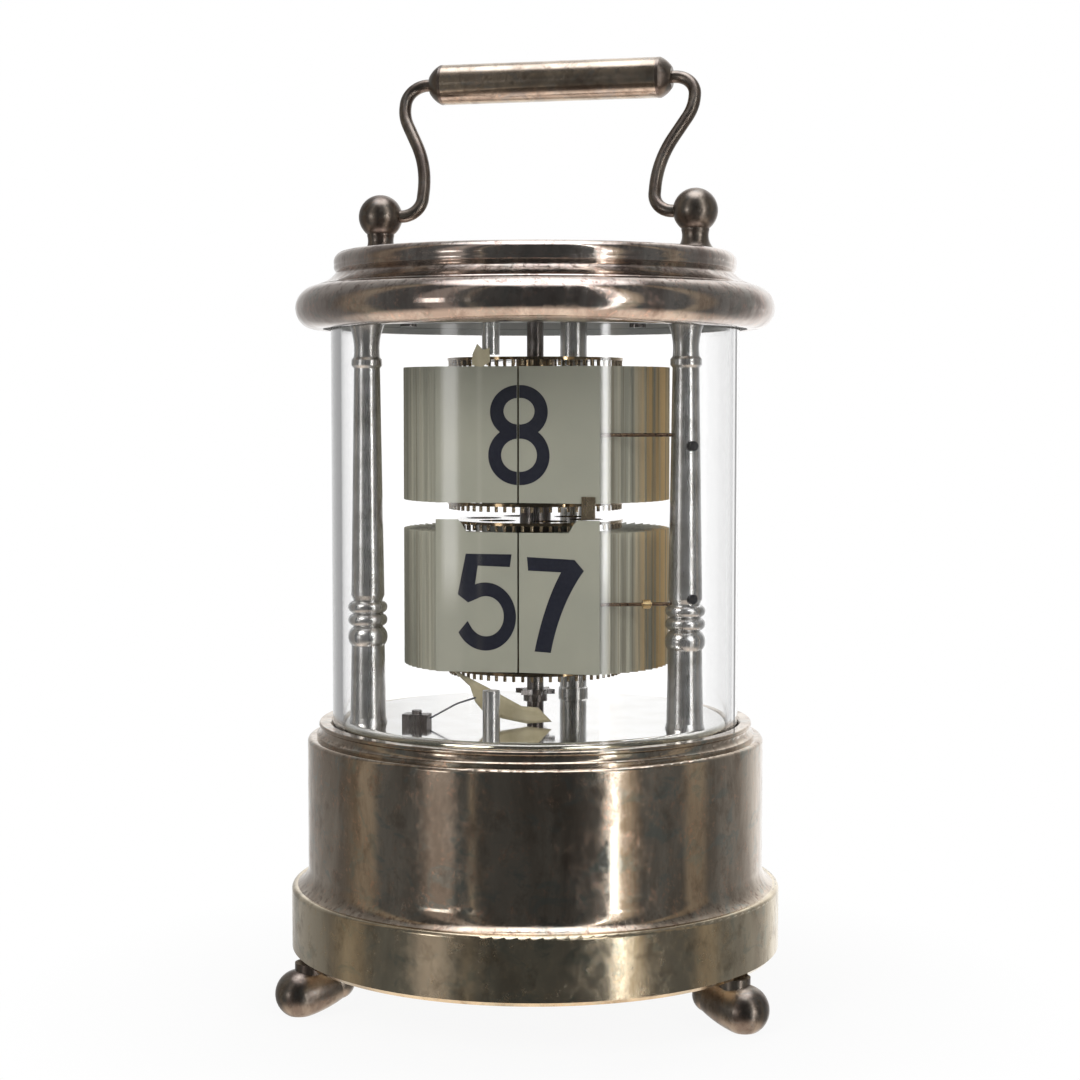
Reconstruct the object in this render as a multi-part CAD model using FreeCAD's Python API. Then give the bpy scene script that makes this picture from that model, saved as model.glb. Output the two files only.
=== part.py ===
import FreeCAD, Part
import os
from math import acos, atan2, cos, degrees, hypot, pi, radians, sin, sqrt, tan

# Leaf clock in a glass cylinder: a round case on three feet, an hour drum above a minute drum,
# sixty hinged leaves on each drum, and a bail handle on the cap.
# Millimetres. The origin is on the clock's axis at the surface it stands on. +Z is up,
# +X is to the right and -Y is the side that shows the time.

os.makedirs("parts", exist_ok=True)

# ---------------------------------------------------------------- driving dimensions
# Case
foot_height = 8.5
flange_step = 2.8
flange_height = 11.0
flange_wall = 3.2
cove_height = 3.5
cove_inset = 1.0
drum_step = 4.2
drum_height = 24.8
case_wall = 1.2
edge_round = 0.7
foot_bulb_radius = 4.0
foot_tail_run = 6.4
foot_tail_drop = 3.6
foot_tail_radius = 2.9
foot_flat_radius = 2.0
foot_neck_radius = 2.6
foot_angles = (96.0, 214.0, 338.5)
foot_screw_radius = 1.1
foot_screw_depth = 3.0
foot_screw_inset = 1.9
foot_screw_end = 0.4

# Bottom cover and its screws
cover_height = 1.0
cover_play = 0.15
cover_screw_inset = 3.6
cover_screw_angles = (34.0, 154.0, 274.0)
cover_screw_head = 1.9
cover_screw_head_height = 0.6
cover_screw_length = 3.6
cover_hole_play = 0.2
arbor_window_play = 0.5
lug_reach = 7.0
lug_root = 0.5
lug_width = 7.0
lug_height = 4.4
lug_hole_depth = 3.0

# Glass and its seats
glass_wall = 1.6
glass_play = 0.2
seat_ledge = 0.8
seat_lip_height = 1.7
seat_lip_width = 2.0
seat_flare = 0.5
seat_edge = 0.5
seat_bead = 0.8
seat_waist = 0.2
seat_chamfer = 0.3
gasket_wall = 1.0
gasket_height = 1.2
gasket_skirt = 1.0
gasket_lap = 1.0
soft_gap = 0.1

# Cap
cap_lip_wall = 0.9
cap_roll_height = 7.2
cap_roll_rise = 2.85
cap_roll_reach = 4.45
cap_roll_crown = 2.9
cap_groove_inset = 3.3
cap_groove_height = 0.5
cap_flare_height = 2.1
cap_flare_reach = 1.3
cap_flare_bend = 0.85
cap_disc_inset = 0.6
cap_disc_height = 3.3
cap_disc_edge = 0.35
cap_disc_bevel = 1.1
cap_plate = 1.5
cap_wall = 1.4
cap_ring_wall = 2.6
cap_web = 1.3

# Handle
post_inset = 6.4
ball_radius = 3.7
ball_height = 6.6
post_neck_radius = 2.3
post_foot_radius = 3.1
post_foot_height = 0.4
post_hollow = 0.7
post_hollow_flare = 0.25
post_fillet = 0.3
post_stud_radius = 1.3
post_stud_end = 0.6
nut_radius = 2.6
nut_height = 1.6
bail_height = 25.45
bail_lean = 24.0
wire_radius = 1.05
arm_waist_inset = 7.05
arm_waist_rise = 9.45
arm_bulge_inset = 1.75
arm_bulge_rise = 19.4
arm_bends = (3.3, 20.0, 8.0, 3.6)
grip_radius = 3.4
grip_inset = 8.3
grip_socket = 4.5
grip_socket_end = 0.5
grip_cap_length = 2.4
grip_cap_band = 0.5
grip_cap_nose = 0.7
pivot_play = 0.05
pivot_depth = 1.2
pivot_end = 0.2

# Frame inside the glass
plate_edge_play = 0.3
plate_edge_round = 1.1
lower_plate_height = 2.4
upper_plate_height = 1.8
upper_plate_rise = 2.8
upper_plate_lap = 4.0
upper_plate_inset = 2.0
plate_screw_inset = 1.9
plate_screw_angles = (65.0, 155.0, 245.0, 315.0)
base_screw_angles = (150.0, 270.0, 30.0)
base_screw_inset = 2.2
case_ledge = 2.3
pillar_inset = 3.6
leaf_sweep_gap = 1.55
pillar_angles = {"pillar_left": 211.5, "pillar_right": -19.5}
rear_column_angle = 90.0
pillar_radius = 2.6
pillar_foot = 0.45
pillar_neck_drop = 0.55
pillar_flare = 3.2
pillar_flare_height = 3.0
pillar_rings_share = 0.27
pillar_ring_pitch = 2.1
pillar_ring_depth = 0.35
pillar_ring_reach = 0.45
pillar_collar_share = 0.115
pillar_collar = 0.9
pillar_collar_reach = 0.35
rear_column_radius = 2.45
rear_column_foot = 0.25
frame_screw_radius = 1.0
frame_screw_head = 1.5
frame_screw_grip = 2.7
column_hole_depth = 3.0
web_hole_depth = 1.0
web_screw_end = 0.2
base_screw_end = 0.3
screw_head_height = 0.9
screw_slot = 0.4
screw_slot_depth = 0.3
screw_play = 0.1
leaf_post_radius = 1.4
leaf_post_circle = 17.9
leaf_post_angle = 261.0
leaf_post_clear = 2.6
leaf_post_rise = 1.8

# Drums and leaves
leaf_count = 60
pivot_circle = 14.25
flange_over_pivot = 0.45
leaf_reach = 12.7
leaf_lap = 0.6
leaf_thickness = 0.15
leaf_play = 0.15
peg_radius = 0.27
peg_length = 0.9
drum_flange = 0.5
drum_window_radius = 3.0
drum_window_count = 6
minute_leaf_low = 8.8
minute_leaf_height = 22.7
hour_leaf_height = 22.0
drum_spacing = 4.8
hour_headroom = 8.3
ear_height = 2.1
ear_width = 4.2
ear_round = 0.6
ear_shoulder = 0.9
hub_radius = 3.2
collar_radius = 2.6
spindle_radius = 1.4
spindle_tip_radius = 0.8
spindle_tail = 3.2
running_play = 0.05
first_waiting = -84.0
first_direction = -1.5
waiting_lean = 0.77
left_direction = 186.0
turned_lean = 0.69
waiting_count = 27
turned_count = 25
column_tip_step = 0.55
column_tip_clear = 2.9
finger_radius = 0.3
finger_gap = 0.2
bead_radius = 0.75
bead_share = 0.62
tongue_width = 2.2
tongue_height = 3.6
tongue_thickness = 0.3
tongue_drop = 2.5
tongue_inset = 2.9
star_radius = 3.4
star_root_radius = 1.9
star_boss_radius = 2.0
star_points = 6
star_height = 0.8
star_boss = 1.2
star_level = 3.6

# Trip spring beside the lower post
block_circle = 22.2
block_angle = 224.0
block_length = 4.2
block_width = 2.6
block_height = 1.7
block_screw_radius = 0.8
block_screw_height = 0.6
spring_gap = 0.1
spring_radius = 0.15
spring_bend = 4.0
spring_level = 1.0
spring_knee = (4.2, 1.2, 2.4)
spring_tip = (8.0, 3.2, 3.6)

# Movement in the base
movement_depth = 20.0
back_plate_height = 1.5
back_plate_play = 0.6
movement_pillar_inset = 2.5
movement_pillar_radius = 1.9
movement_pillar_angles = (45.0, 135.0, 225.0, 315.0)
barrel_module = 0.4
barrel_teeth = 60
barrel_pinion_teeth = 10
barrel_rise = 0.8
barrel_wheel = 1.6
barrel_height = 12.6
barrel_inset = 1.3
barrel_wall = 0.8
barrel_floor = 1.0
barrel_arbor_radius = 1.6
spring_play = 0.3
spring_coils = 4
spring_coil_pitch = 1.3
spring_coil_wall = 0.8
spring_hub_play = 0.4
pinion_lap = 0.3
ratchet_radius = 5.4
ratchet_root_radius = 4.5
ratchet_teeth = 16
ratchet_undercut = 2.5
ratchet_height = 1.0
ratchet_gap = 0.5
click_width = 1.2
click_height = 0.9
click_boss_radius = 1.3
click_screw = (1.5, 9.0)
click_tip = (-1.0, 5.9)
going_module = 0.28
centre_teeth = 64
centre_wheel_drop = 3.4
third_pinion_teeth = 8
third_module = 0.25
third_teeth = 60
third_wheel_rise = 5.0
fourth_pinion_teeth = 8
setting_module = 0.3
setting_teeth = 30
setting_gap = 1.2
motion_module = 0.35
cannon_teeth = 12
cannon_height = 1.6
minute_wheel_teeth = 36
minute_pinion_teeth = 10
hour_teeth = 40
motion_gap = 0.5
hour_wheel_rise = 0.4
hour_pipe_rise = 2.6
cannon_rise = 3.2
minute_wheel_step = 0.3
gear_play = 0.10
gear_addendum = 0.45
pinion_addendum = 0.75
gear_dedendum = 0.95
gear_root_widening = 0.18
gear_flank_angle = 24.0
wheel_height = 1.0
pinion_overhang = 0.4
barrel_angle = 180.0
third_angle = -50.0
fourth_angle = 20.0
setting_angle = 90.0
motion_angle = -35.0
arbor_radius = 0.8
arbor_end = 0.3

# Key and knob under the case
key_drop = 5.6
key_hub_radius = 3.0
key_span = 17.0
key_wing = 1.4
key_wing_drop = 0.8
key_floor = 0.6
key_gap = 0.5
knob_radius = 4.2
knob_knurl = 0.3
knob_knurls = 20
knob_lift = 0.8
knob_gap = 0.6

# Platform escapement and balance
platform_rise = 2.2
platform_height = 4.6
platform_width = 10.0
platform_length = 15.0
platform_corner = (-3.2, -3.4)
platform_leg_radius = 1.2
platform_leg_place = (4.6, 9.6)
platform_roof = 1.4
balance_place = (3.0, 7.2)
balance_radius = 5.4
balance_rim = 0.9
balance_rise = 0.9
balance_arm = 1.1
balance_arm_height = 0.6
balance_arm_gap = 0.1
staff_radius = 0.5
staff_length = 3.9
staff_hole_depth = 1.0
hairspring_radii = (1.4, 2.1, 2.8, 3.5)
hairspring_wall = 0.15
hairspring_height = 0.5
hairspring_rise = 2.3
cock_rise = 3.3
cock_height = 1.0
cock_width = 2.4
cock_foot_radius = 1.2
cock_foot_place = (-1.4, -1.6)
regulator_gap = 0.1
regulator_length = 6.2
regulator_width = 0.9
regulator_height = 0.5
regulator_ring_radius = 1.5
regulator_angle = 20.0

# ---------------------------------------------------------------- levels and radii that follow
drum_flange_radius = pivot_circle + flange_over_pivot
pillar_circle_radius = pivot_circle + leaf_reach + leaf_sweep_gap
lower_plate_radius = pillar_circle_radius + pillar_inset
base_screw_circle = lower_plate_radius - base_screw_inset
case_opening = base_screw_circle - case_ledge
back_plate_radius = case_opening - back_plate_play
movement_pillar_circle = back_plate_radius - movement_pillar_inset
glass_bore = lower_plate_radius + plate_edge_play
glass_radius = glass_bore + glass_wall
upper_plate_radius = glass_radius - gasket_lap - upper_plate_inset
cap_web_radius = upper_plate_radius - upper_plate_lap
cap_disc_radius = glass_radius - cap_disc_inset
drum_radius = glass_radius + drum_step
flange_radius = drum_radius + flange_step
flange_low = foot_height
flange_top = flange_low + flange_height
drum_low = flange_top
drum_top = drum_low + drum_height
seat_low = drum_top
ledge_top = seat_low + seat_ledge
seat_top = ledge_top + seat_lip_height
plate_low = ledge_top
plate_top = plate_low + lower_plate_height
minute_low = plate_top + minute_leaf_low
minute_top = minute_low + minute_leaf_height
hour_low = minute_top + drum_spacing
hour_top = hour_low + hour_leaf_height
upper_low = hour_top + hour_headroom
upper_top = upper_low + upper_plate_height
glass_low = ledge_top
glass_top = upper_top - upper_plate_rise
gasket_radius = glass_radius + glass_play + gasket_wall
gasket_low = glass_top - gasket_skirt
gasket_top = glass_top + soft_gap + gasket_height
cap_low = gasket_low
cap_bore = gasket_radius + soft_gap
cap_roll_top = cap_low + cap_roll_height
cap_flare_top = cap_roll_top + cap_flare_height
cap_seat = cap_flare_top
cap_top = cap_seat + cap_disc_height
cap_roll_radius = cap_bore + cap_roll_reach
ball_level = cap_top + ball_height
post_x = cap_disc_radius - post_inset
grip_half = post_x - grip_inset
plate_screw_circle = upper_plate_radius - plate_screw_inset
foot_bulb_centre = flange_radius
foot_tail_reach = foot_bulb_centre - foot_tail_run
foot_screw_circle = flange_radius - foot_screw_inset
cover_low = flange_low + edge_round
cover_top = cover_low + cover_height
cover_radius = flange_radius - flange_wall - cover_play
cover_screw_circle = flange_radius - flange_wall - cover_screw_inset
leaf_pitch = 360.0 / leaf_count
back_top = plate_low - movement_depth
back_low = back_top - back_plate_height
barrel_wheel_low = back_top + barrel_rise
barrel_body_radius = barrel_teeth * barrel_module / 2.0 - barrel_inset
barrel_top = barrel_wheel_low + barrel_height
mainspring_low = barrel_wheel_low + barrel_floor + spring_play
mainspring_top = barrel_top - barrel_wall - spring_play
mainspring_radius = barrel_body_radius - barrel_wall - spring_play
centre_wheel_low = plate_low - centre_wheel_drop
third_wheel_low = back_top + third_wheel_rise
setting_low = back_low - wheel_height - setting_gap
ratchet_low = back_low - ratchet_height - ratchet_gap
platform_low = third_wheel_low + platform_rise
platform_top = platform_low + platform_height
motion_low = upper_top + motion_gap
cannon_low = motion_low + cannon_rise
Z = FreeCAD.Vector(0, 0, 1)
half_way = sqrt(0.5)  # how far out a quarter circle is at its middle, as a share of its radius


# ---------------------------------------------------------------- shape helpers
def vec(x, y, z=0.0):
    return FreeCAD.Vector(x, y, z)


def polar(radius, angle, z=0.0):
    return vec(radius * cos(radians(angle)), radius * sin(radians(angle)), z)


def rod(radius, low, high, x=0.0, y=0.0):
    return Part.makeCylinder(radius, high - low, vec(x, y, low))


def tube(outer, inner, low, high, x=0.0, y=0.0):
    return rod(outer, low, high, x, y).cut(rod(inner, low - 1.0, high + 1.0, x, y))


def turned(start, steps, x=0.0, y=0.0):
    """Turn a closed outline of (radius, height) points about a vertical axis.
    A step is a point for a straight run, or (middle point, end point) for an arc."""
    edges = []
    here = start
    for step in list(steps) + [start]:
        if isinstance(step[0], tuple):
            middle, end = step
            arc = Part.Arc(vec(here[0], 0, here[1]), vec(middle[0], 0, middle[1]), vec(end[0], 0, end[1]))
            edges.append(arc.toShape())
            here = end
        elif hypot(step[0] - here[0], step[1] - here[1]) > 1e-7:
            edges.append(Part.makeLine(vec(here[0], 0, here[1]), vec(step[0], 0, step[1])))
            here = step
    face = Part.Face(Part.Wire(edges))
    solid = face.revolve(vec(0, 0, 0), Z, 360)
    solid.translate(vec(x, y, 0))
    return solid


def plate(points, low, high):
    """Upright prism over a closed outline of (x, y) points."""
    wire = Part.makePolygon([vec(x, y, low) for x, y in points] + [vec(points[0][0], points[0][1], low)])
    return Part.Face(wire).extrude(vec(0, 0, high - low))


def rounded_path(points, radii):
    """Straight runs joined by tangent arcs. radii has one value per inner point."""
    edges = []
    here = points[0]
    for before, corner, after, radius in zip(points, points[1:], points[2:], radii):
        back = (before - corner).normalize()
        ahead = (after - corner).normalize()
        half = back.getAngle(ahead) / 2.0
        reach = radius / tan(half)
        start = corner + back * reach
        end = corner + ahead * reach
        bisector = (back + ahead).normalize()
        middle = corner + bisector * (radius / sin(half) - radius)
        edges.append(Part.makeLine(here, start))
        edges.append(Part.Arc(start, middle, end).toShape())
        here = end
    edges.append(Part.makeLine(here, points[-1]))
    return Part.Wire(edges)


def wire_sweep(points, radii, radius):
    path = rounded_path(points, radii)
    heading = (points[1] - points[0]).normalize()
    ring = Part.Wire([Part.makeCircle(radius, points[0], heading)])
    return path.makePipeShell([ring], True, False)


def gear(teeth, module, low, high, bore, x=0.0, y=0.0, phase=0.0,
         addendum=gear_addendum):
    """Spur wheel. A tooth's flank is straight from the root to the pitch circle and to the tip."""
    pitch_radius = teeth * module / 2.0
    root_radius = pitch_radius - gear_dedendum * module
    tip_radius = pitch_radius + addendum * module
    pitch_half = degrees((pi * module / 2.0 - gear_play) / 2.0 / pitch_radius)
    root_half = pitch_half + degrees(gear_root_widening * module / root_radius)
    tip_half = pitch_half - degrees(addendum * module * tan(radians(gear_flank_angle)) / tip_radius)
    points = []
    for tooth in range(teeth):
        centre = phase + 360.0 * tooth / teeth
        for radius, offset in ((root_radius, -root_half), (pitch_radius, -pitch_half),
                               (tip_radius, -tip_half), (tip_radius, tip_half),
                               (pitch_radius, pitch_half), (root_radius, root_half)):
            spot = polar(radius, centre + offset)
            points.append((x + spot.x, y + spot.y))
    wheel = plate(points, low, high)
    return wheel.cut(rod(bore, low - 1.0, high + 1.0, x, y)) if bore else wheel


def meshing_phase(teeth, toward):
    """Phase that puts a tooth of a wheel on the line of centres."""
    return toward % (360.0 / teeth)


def space_phase(teeth, toward):
    """Phase that puts a space of a wheel on the line of centres."""
    return toward % (360.0 / teeth) + 180.0 / teeth


def export(name, *solids):
    """Write one sub-part. Several solids stay separate in one file."""
    flat = []
    for shape in solids:
        flat.extend(shape.Solids)
    shape = flat[0] if len(flat) == 1 else Part.makeCompound(flat)
    shape.exportStep(os.path.join("parts", name + ".step"))


# ---------------------------------------------------------------- case
def base_flange():
    """Plain band at the foot of the case, with three lugs inside for the cover's screws."""
    inner = flange_radius - flange_wall
    band = turned((inner, flange_low), [
        (flange_radius - edge_round, flange_low),
        (flange_radius, flange_low + edge_round),
        (flange_radius, flange_top - edge_round),
        ((flange_radius - 0.3 * edge_round, flange_top - 0.3 * edge_round),
         (flange_radius - edge_round, flange_top)),
        (inner, flange_top)])
    for angle in cover_screw_angles:
        lug = Part.makeBox(lug_reach, lug_width, lug_height,
                           vec(inner - lug_reach + lug_root, -lug_width / 2.0, cover_top))
        lug.rotate(vec(0, 0, 0), Z, angle)
        spot = polar(cover_screw_circle, angle)
        hole = rod(frame_screw_radius, cover_low, cover_top + lug_hole_depth, spot.x, spot.y)
        band = band.fuse(lug.cut(hole))
    for angle in foot_angles:
        spot = polar(foot_screw_circle, angle)
        band = band.cut(rod(foot_screw_radius, 0.0, flange_low + foot_screw_depth, spot.x, spot.y))
    return band.removeSplitter()


def base_drum():
    """Spun drum: a cove at its foot, an upright wall and a flat shoulder with a round opening."""
    foot_radius = flange_radius - cove_inset
    inner = drum_radius - case_wall
    drum = turned((case_opening, drum_top), [
        (drum_radius - edge_round, drum_top),
        ((drum_radius - 0.3 * edge_round, drum_top - 0.3 * edge_round),
         (drum_radius, drum_top - edge_round)),
        (drum_radius, drum_low + cove_height),
        ((drum_radius + 0.32 * (foot_radius - drum_radius), drum_low + 0.32 * cove_height),
         (foot_radius, drum_low)),
        (inner, drum_low),
        (inner, drum_top - case_wall),
        (case_opening, drum_top - case_wall)])
    return base_screw_holes(drum)


def base_screw_holes(shape):
    """Holes for the three screws that pull the lower plate down on the case."""
    for angle in base_screw_angles:
        spot = polar(base_screw_circle, angle)
        shape = shape.cut(rod(frame_screw_radius, drum_top - 2.0 * case_wall,
                              plate_top - screw_head_height, spot.x, spot.y))
    return shape


def foot(angle):
    """Egg-shaped foot: its round bulb stands out past the case and its small end rises under it."""
    bulb_level = sqrt(foot_bulb_radius ** 2 - foot_flat_radius ** 2)
    run = foot_bulb_centre - foot_tail_reach
    rise = foot_height - foot_tail_drop - bulb_level
    length = hypot(run, rise)
    taper = foot_bulb_radius - foot_tail_radius
    drop = turned((0.0, -foot_bulb_radius), [
        ((half_way * foot_bulb_radius, -half_way * foot_bulb_radius), (foot_bulb_radius, 0.0)),
        ((foot_bulb_radius - 0.25 * taper, 0.5 * length), (foot_tail_radius, length)),
        ((half_way * foot_tail_radius, length + half_way * foot_tail_radius),
         (0.0, length + foot_tail_radius))])
    drop.rotate(vec(0, 0, 0), vec(0, 1, 0), -degrees(atan2(run, rise)))
    drop.translate(vec(foot_bulb_centre, 0, bulb_level))
    neck = rod(foot_neck_radius, bulb_level, foot_height, foot_screw_circle, 0)
    room = Part.makeBox(2.0 * foot_bulb_centre, 2.0 * foot_bulb_centre, foot_height,
                        vec(0, -foot_bulb_centre, 0))
    body = drop.fuse(neck).common(room)
    body = body.cut(rod(foot_screw_radius, foot_height - foot_screw_depth, 2.0 * foot_height,
                        foot_screw_circle, 0))
    body.rotate(vec(0, 0, 0), Z, angle)
    return body


def bottom_cover():
    cover = rod(cover_radius, cover_low, cover_top)
    for angle in cover_screw_angles:
        spot = polar(cover_screw_circle, angle)
        cover = cover.cut(rod(frame_screw_radius + cover_hole_play, 0.0, flange_top, spot.x, spot.y))
    for x, y in (barrel_spot, setting_spot):
        cover = cover.cut(rod(barrel_arbor_radius + arbor_window_play, 0.0, flange_top, x, y))
    return cover


def headed_screw(x, y, head_face, down, head_radius, shank_radius, length, head_height=screw_head_height):
    """Slotted cheese-head screw. down is -1 for a head above its shank and +1 for a head below."""
    head_low = head_face if down < 0 else head_face - head_height
    head = rod(head_radius, head_low, head_low + head_height, x, y)
    slot_level = head_low + head_height - screw_slot_depth if down < 0 else head_low
    slot = Part.makeBox(head_radius * 3.0, screw_slot, screw_slot_depth,
                        vec(x - head_radius * 1.5, y - screw_slot / 2.0, slot_level))
    shank_low = head_face - length if down < 0 else head_face
    return head.cut(slot).fuse(rod(shank_radius, shank_low, shank_low + length, x, y)).removeSplitter()


def seat_ring():
    """Ring on the drum's shoulder: the glass stands on its ledge, inside its lip."""
    lip_bore = glass_radius + glass_play
    lip_radius = lip_bore + seat_lip_width
    ring = turned((case_opening, seat_low), [
        (lip_radius + seat_flare, seat_low),
        (lip_radius + seat_flare, seat_low + seat_edge),
        ((lip_radius - seat_waist / 2.0, (seat_low + seat_edge + seat_top - seat_bead) / 2.0),
         (lip_radius - seat_waist, seat_top - seat_bead)),
        ((lip_radius + seat_waist / 2.0, seat_top - seat_bead / 2.0),
         (lip_radius - seat_waist / 2.0, seat_top)),
        (lip_bore + seat_chamfer, seat_top),
        (lip_bore, seat_top - seat_chamfer),
        (lip_bore, ledge_top),
        (case_opening, ledge_top)])
    return base_screw_holes(ring)


def cap_rim():
    """Cap moulding: full roll, groove and a hollow flare that carries the disc."""
    lip_radius = cap_bore + cap_lip_wall
    widest = cap_low + cap_roll_rise
    crown_radius = cap_roll_radius - cap_roll_crown
    crown_top = cap_roll_top - 0.4 * cap_groove_height
    groove_radius = cap_roll_radius - cap_groove_inset
    inner = cap_disc_radius - cap_ring_wall
    rim = turned((cap_bore, cap_low), [
        (lip_radius, cap_low),
        ((lip_radius + half_way * (cap_roll_radius - lip_radius), widest - half_way * cap_roll_rise),
         (cap_roll_radius, widest)),
        ((crown_radius + half_way * cap_roll_crown, widest + half_way * (crown_top - widest)),
         (crown_radius, crown_top)),
        (groove_radius + 0.6 * cap_groove_height, cap_roll_top - cap_groove_height),
        (groove_radius - 0.4 * cap_groove_height, cap_roll_top),
        ((cap_disc_radius - cap_disc_edge + cap_flare_reach, cap_roll_top + cap_flare_bend),
         (cap_disc_radius - cap_disc_edge, cap_flare_top)),
        (inner, cap_flare_top),
        (inner, upper_top + cap_web),
        (cap_web_radius, upper_top + cap_web),
        (cap_web_radius, upper_top),
        (upper_plate_radius + plate_edge_play, upper_top),
        (upper_plate_radius + plate_edge_play, gasket_top + soft_gap),
        (cap_bore, gasket_top + soft_gap)])
    for angle in plate_screw_angles:
        spot = polar(plate_screw_circle, angle)
        rim = rim.cut(rod(frame_screw_radius, upper_low, upper_top + web_hole_depth, spot.x, spot.y))
    return rim


def cap_disc():
    disc = turned((0.0, cap_top - cap_plate), [
        (cap_disc_radius - cap_wall, cap_top - cap_plate),
        (cap_disc_radius - cap_wall, cap_seat),
        (cap_disc_radius - cap_disc_edge, cap_seat),
        ((cap_disc_radius, cap_seat + 0.5), (cap_disc_radius, cap_seat + 1.2)),
        ((cap_disc_radius - cap_disc_edge, cap_top - 0.5), (cap_disc_radius - cap_disc_bevel, cap_top)),
        (0.0, cap_top)])
    for side in (-1, 1):
        disc = disc.cut(rod(post_stud_radius, cap_low, ball_level, side * post_x, 0))
    return disc


def gasket():
    inner = glass_radius - gasket_lap
    return turned((inner, glass_top + soft_gap), [
        (glass_radius + glass_play, glass_top + soft_gap),
        (glass_radius + glass_play, gasket_low),
        (gasket_radius, gasket_low),
        (gasket_radius, gasket_top),
        (inner, gasket_top)])


# ---------------------------------------------------------------- handle
def handle_post(side):
    """Ball on a waisted neck. The bail's end turns in a blind hole on the inner side."""
    stud_low = cap_top - cap_plate - nut_height - post_stud_end
    foot_top = cap_top + post_foot_height
    neck_top = ball_level - sqrt(ball_radius ** 2 - post_neck_radius ** 2)
    post = turned((0.0, stud_low), [
        (post_stud_radius, stud_low),
        (post_stud_radius, cap_top),
        (post_foot_radius, cap_top),
        (post_foot_radius, foot_top),
        ((post_neck_radius + post_hollow_flare, foot_top + post_hollow),
         (post_neck_radius, neck_top - post_fillet)),
        (post_neck_radius, neck_top),
        ((ball_radius, ball_level), (0.0, ball_level + ball_radius))])
    post.translate(vec(side * post_x, 0, 0))
    bore = Part.makeCylinder(wire_radius + pivot_play, ball_radius + pivot_depth,
                             vec(side * (post_x - ball_radius), 0, ball_level), vec(side, 0, 0))
    return post.cut(bore)


def post_nut(side):
    corners = [polar(nut_radius, angle) for angle in range(0, 360, 60)]
    top = cap_top - cap_plate
    nut = plate([(corner.x, corner.y) for corner in corners], top - nut_height, top)
    nut = nut.cut(rod(post_stud_radius, cap_low, cap_top))
    nut.translate(vec(side * post_x, 0, 0))
    return nut


def leaned(shape):
    """Lean a piece of the upright bail back about the line of the two balls."""
    shape.rotate(vec(0, 0, ball_level), vec(1, 0, 0), -bail_lean)
    return shape


def bail_arm(side):
    """Wire from the ball, in to a waist, out to a bulge and over into the end of the grip."""
    waist = post_x - arm_waist_inset
    bulge = post_x - arm_bulge_inset
    shape = [
        (post_x + pivot_depth - pivot_end, 0.0),
        (waist, 0.0),
        (waist, arm_waist_rise),
        (bulge, arm_bulge_rise),
        (bulge, bail_height),
        (grip_half - grip_socket + grip_socket_end, bail_height)]
    points = [vec(side * across, 0, ball_level + rise) for across, rise in shape]
    return leaned(wire_sweep(points, arm_bends, wire_radius))


def grip():
    bar = Part.makeCylinder(grip_radius, 2.0 * grip_half, vec(-grip_half, 0, 0), vec(1, 0, 0))
    for side in (-1, 1):
        bar = bar.cut(Part.makeCylinder(wire_radius, grip_half, vec(side * (grip_half - grip_socket), 0, 0),
                                        vec(side, 0, 0)))
    bar.translate(vec(0, 0, ball_level + bail_height))
    return leaned(bar)


def grip_cap(side):
    """Coned end of the grip, around the arm."""
    cap = turned((wire_radius, 0.0), [
        (grip_radius, 0.0),
        (grip_radius, grip_cap_band),
        ((grip_radius - grip_cap_band, 0.55 * grip_cap_length),
         (wire_radius + grip_cap_nose, grip_cap_length)),
        (wire_radius, grip_cap_length)])
    cap.rotate(vec(0, 0, 0), vec(0, 1, 0), 90.0 * side)
    cap.translate(vec(side * grip_half, 0, ball_level + bail_height))
    return leaned(cap)


# ---------------------------------------------------------------- frame inside the glass
def frame_spots():
    spots = {name: polar(pillar_circle_radius, angle) for name, angle in pillar_angles.items()}
    spots["rear_column"] = polar(pillar_circle_radius, rear_column_angle)
    return spots


def lower_plate():
    disc = turned((0.0, plate_low), [
        (lower_plate_radius, plate_low),
        (lower_plate_radius, plate_top - plate_edge_round),
        ((lower_plate_radius - 0.29 * plate_edge_round, plate_top - 0.29 * plate_edge_round),
         (lower_plate_radius - plate_edge_round, plate_top)),
        (0.0, plate_top)])
    disc = disc.cut(rod(spindle_radius + running_play, back_top, minute_low))
    for spot in frame_spots().values():
        disc = disc.cut(rod(frame_screw_radius, back_top, minute_low, spot.x, spot.y))
        disc = disc.cut(rod(frame_screw_head + screw_play, back_top, plate_low + screw_head_height,
                            spot.x, spot.y))
    return base_screw_holes(disc)


def upper_plate():
    disc = rod(upper_plate_radius, upper_low, upper_top)
    disc = disc.cut(rod(spindle_radius + running_play, hour_top, cap_top))
    for spot in frame_spots().values():
        disc = disc.cut(rod(frame_screw_radius, hour_top, cap_top, spot.x, spot.y))
        disc = disc.cut(rod(frame_screw_head + screw_play, upper_top - screw_head_height, cap_top,
                            spot.x, spot.y))
    for angle in plate_screw_angles:
        spot = polar(plate_screw_circle, angle)
        disc = disc.cut(rod(frame_screw_radius, hour_top, cap_top, spot.x, spot.y))
    stud = rod(arbor_radius, (upper_low + upper_top) / 2.0, cannon_low + minute_wheel_step + cannon_height,
               *motion_spot)
    return disc.fuse(stud).removeSplitter()


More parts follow.
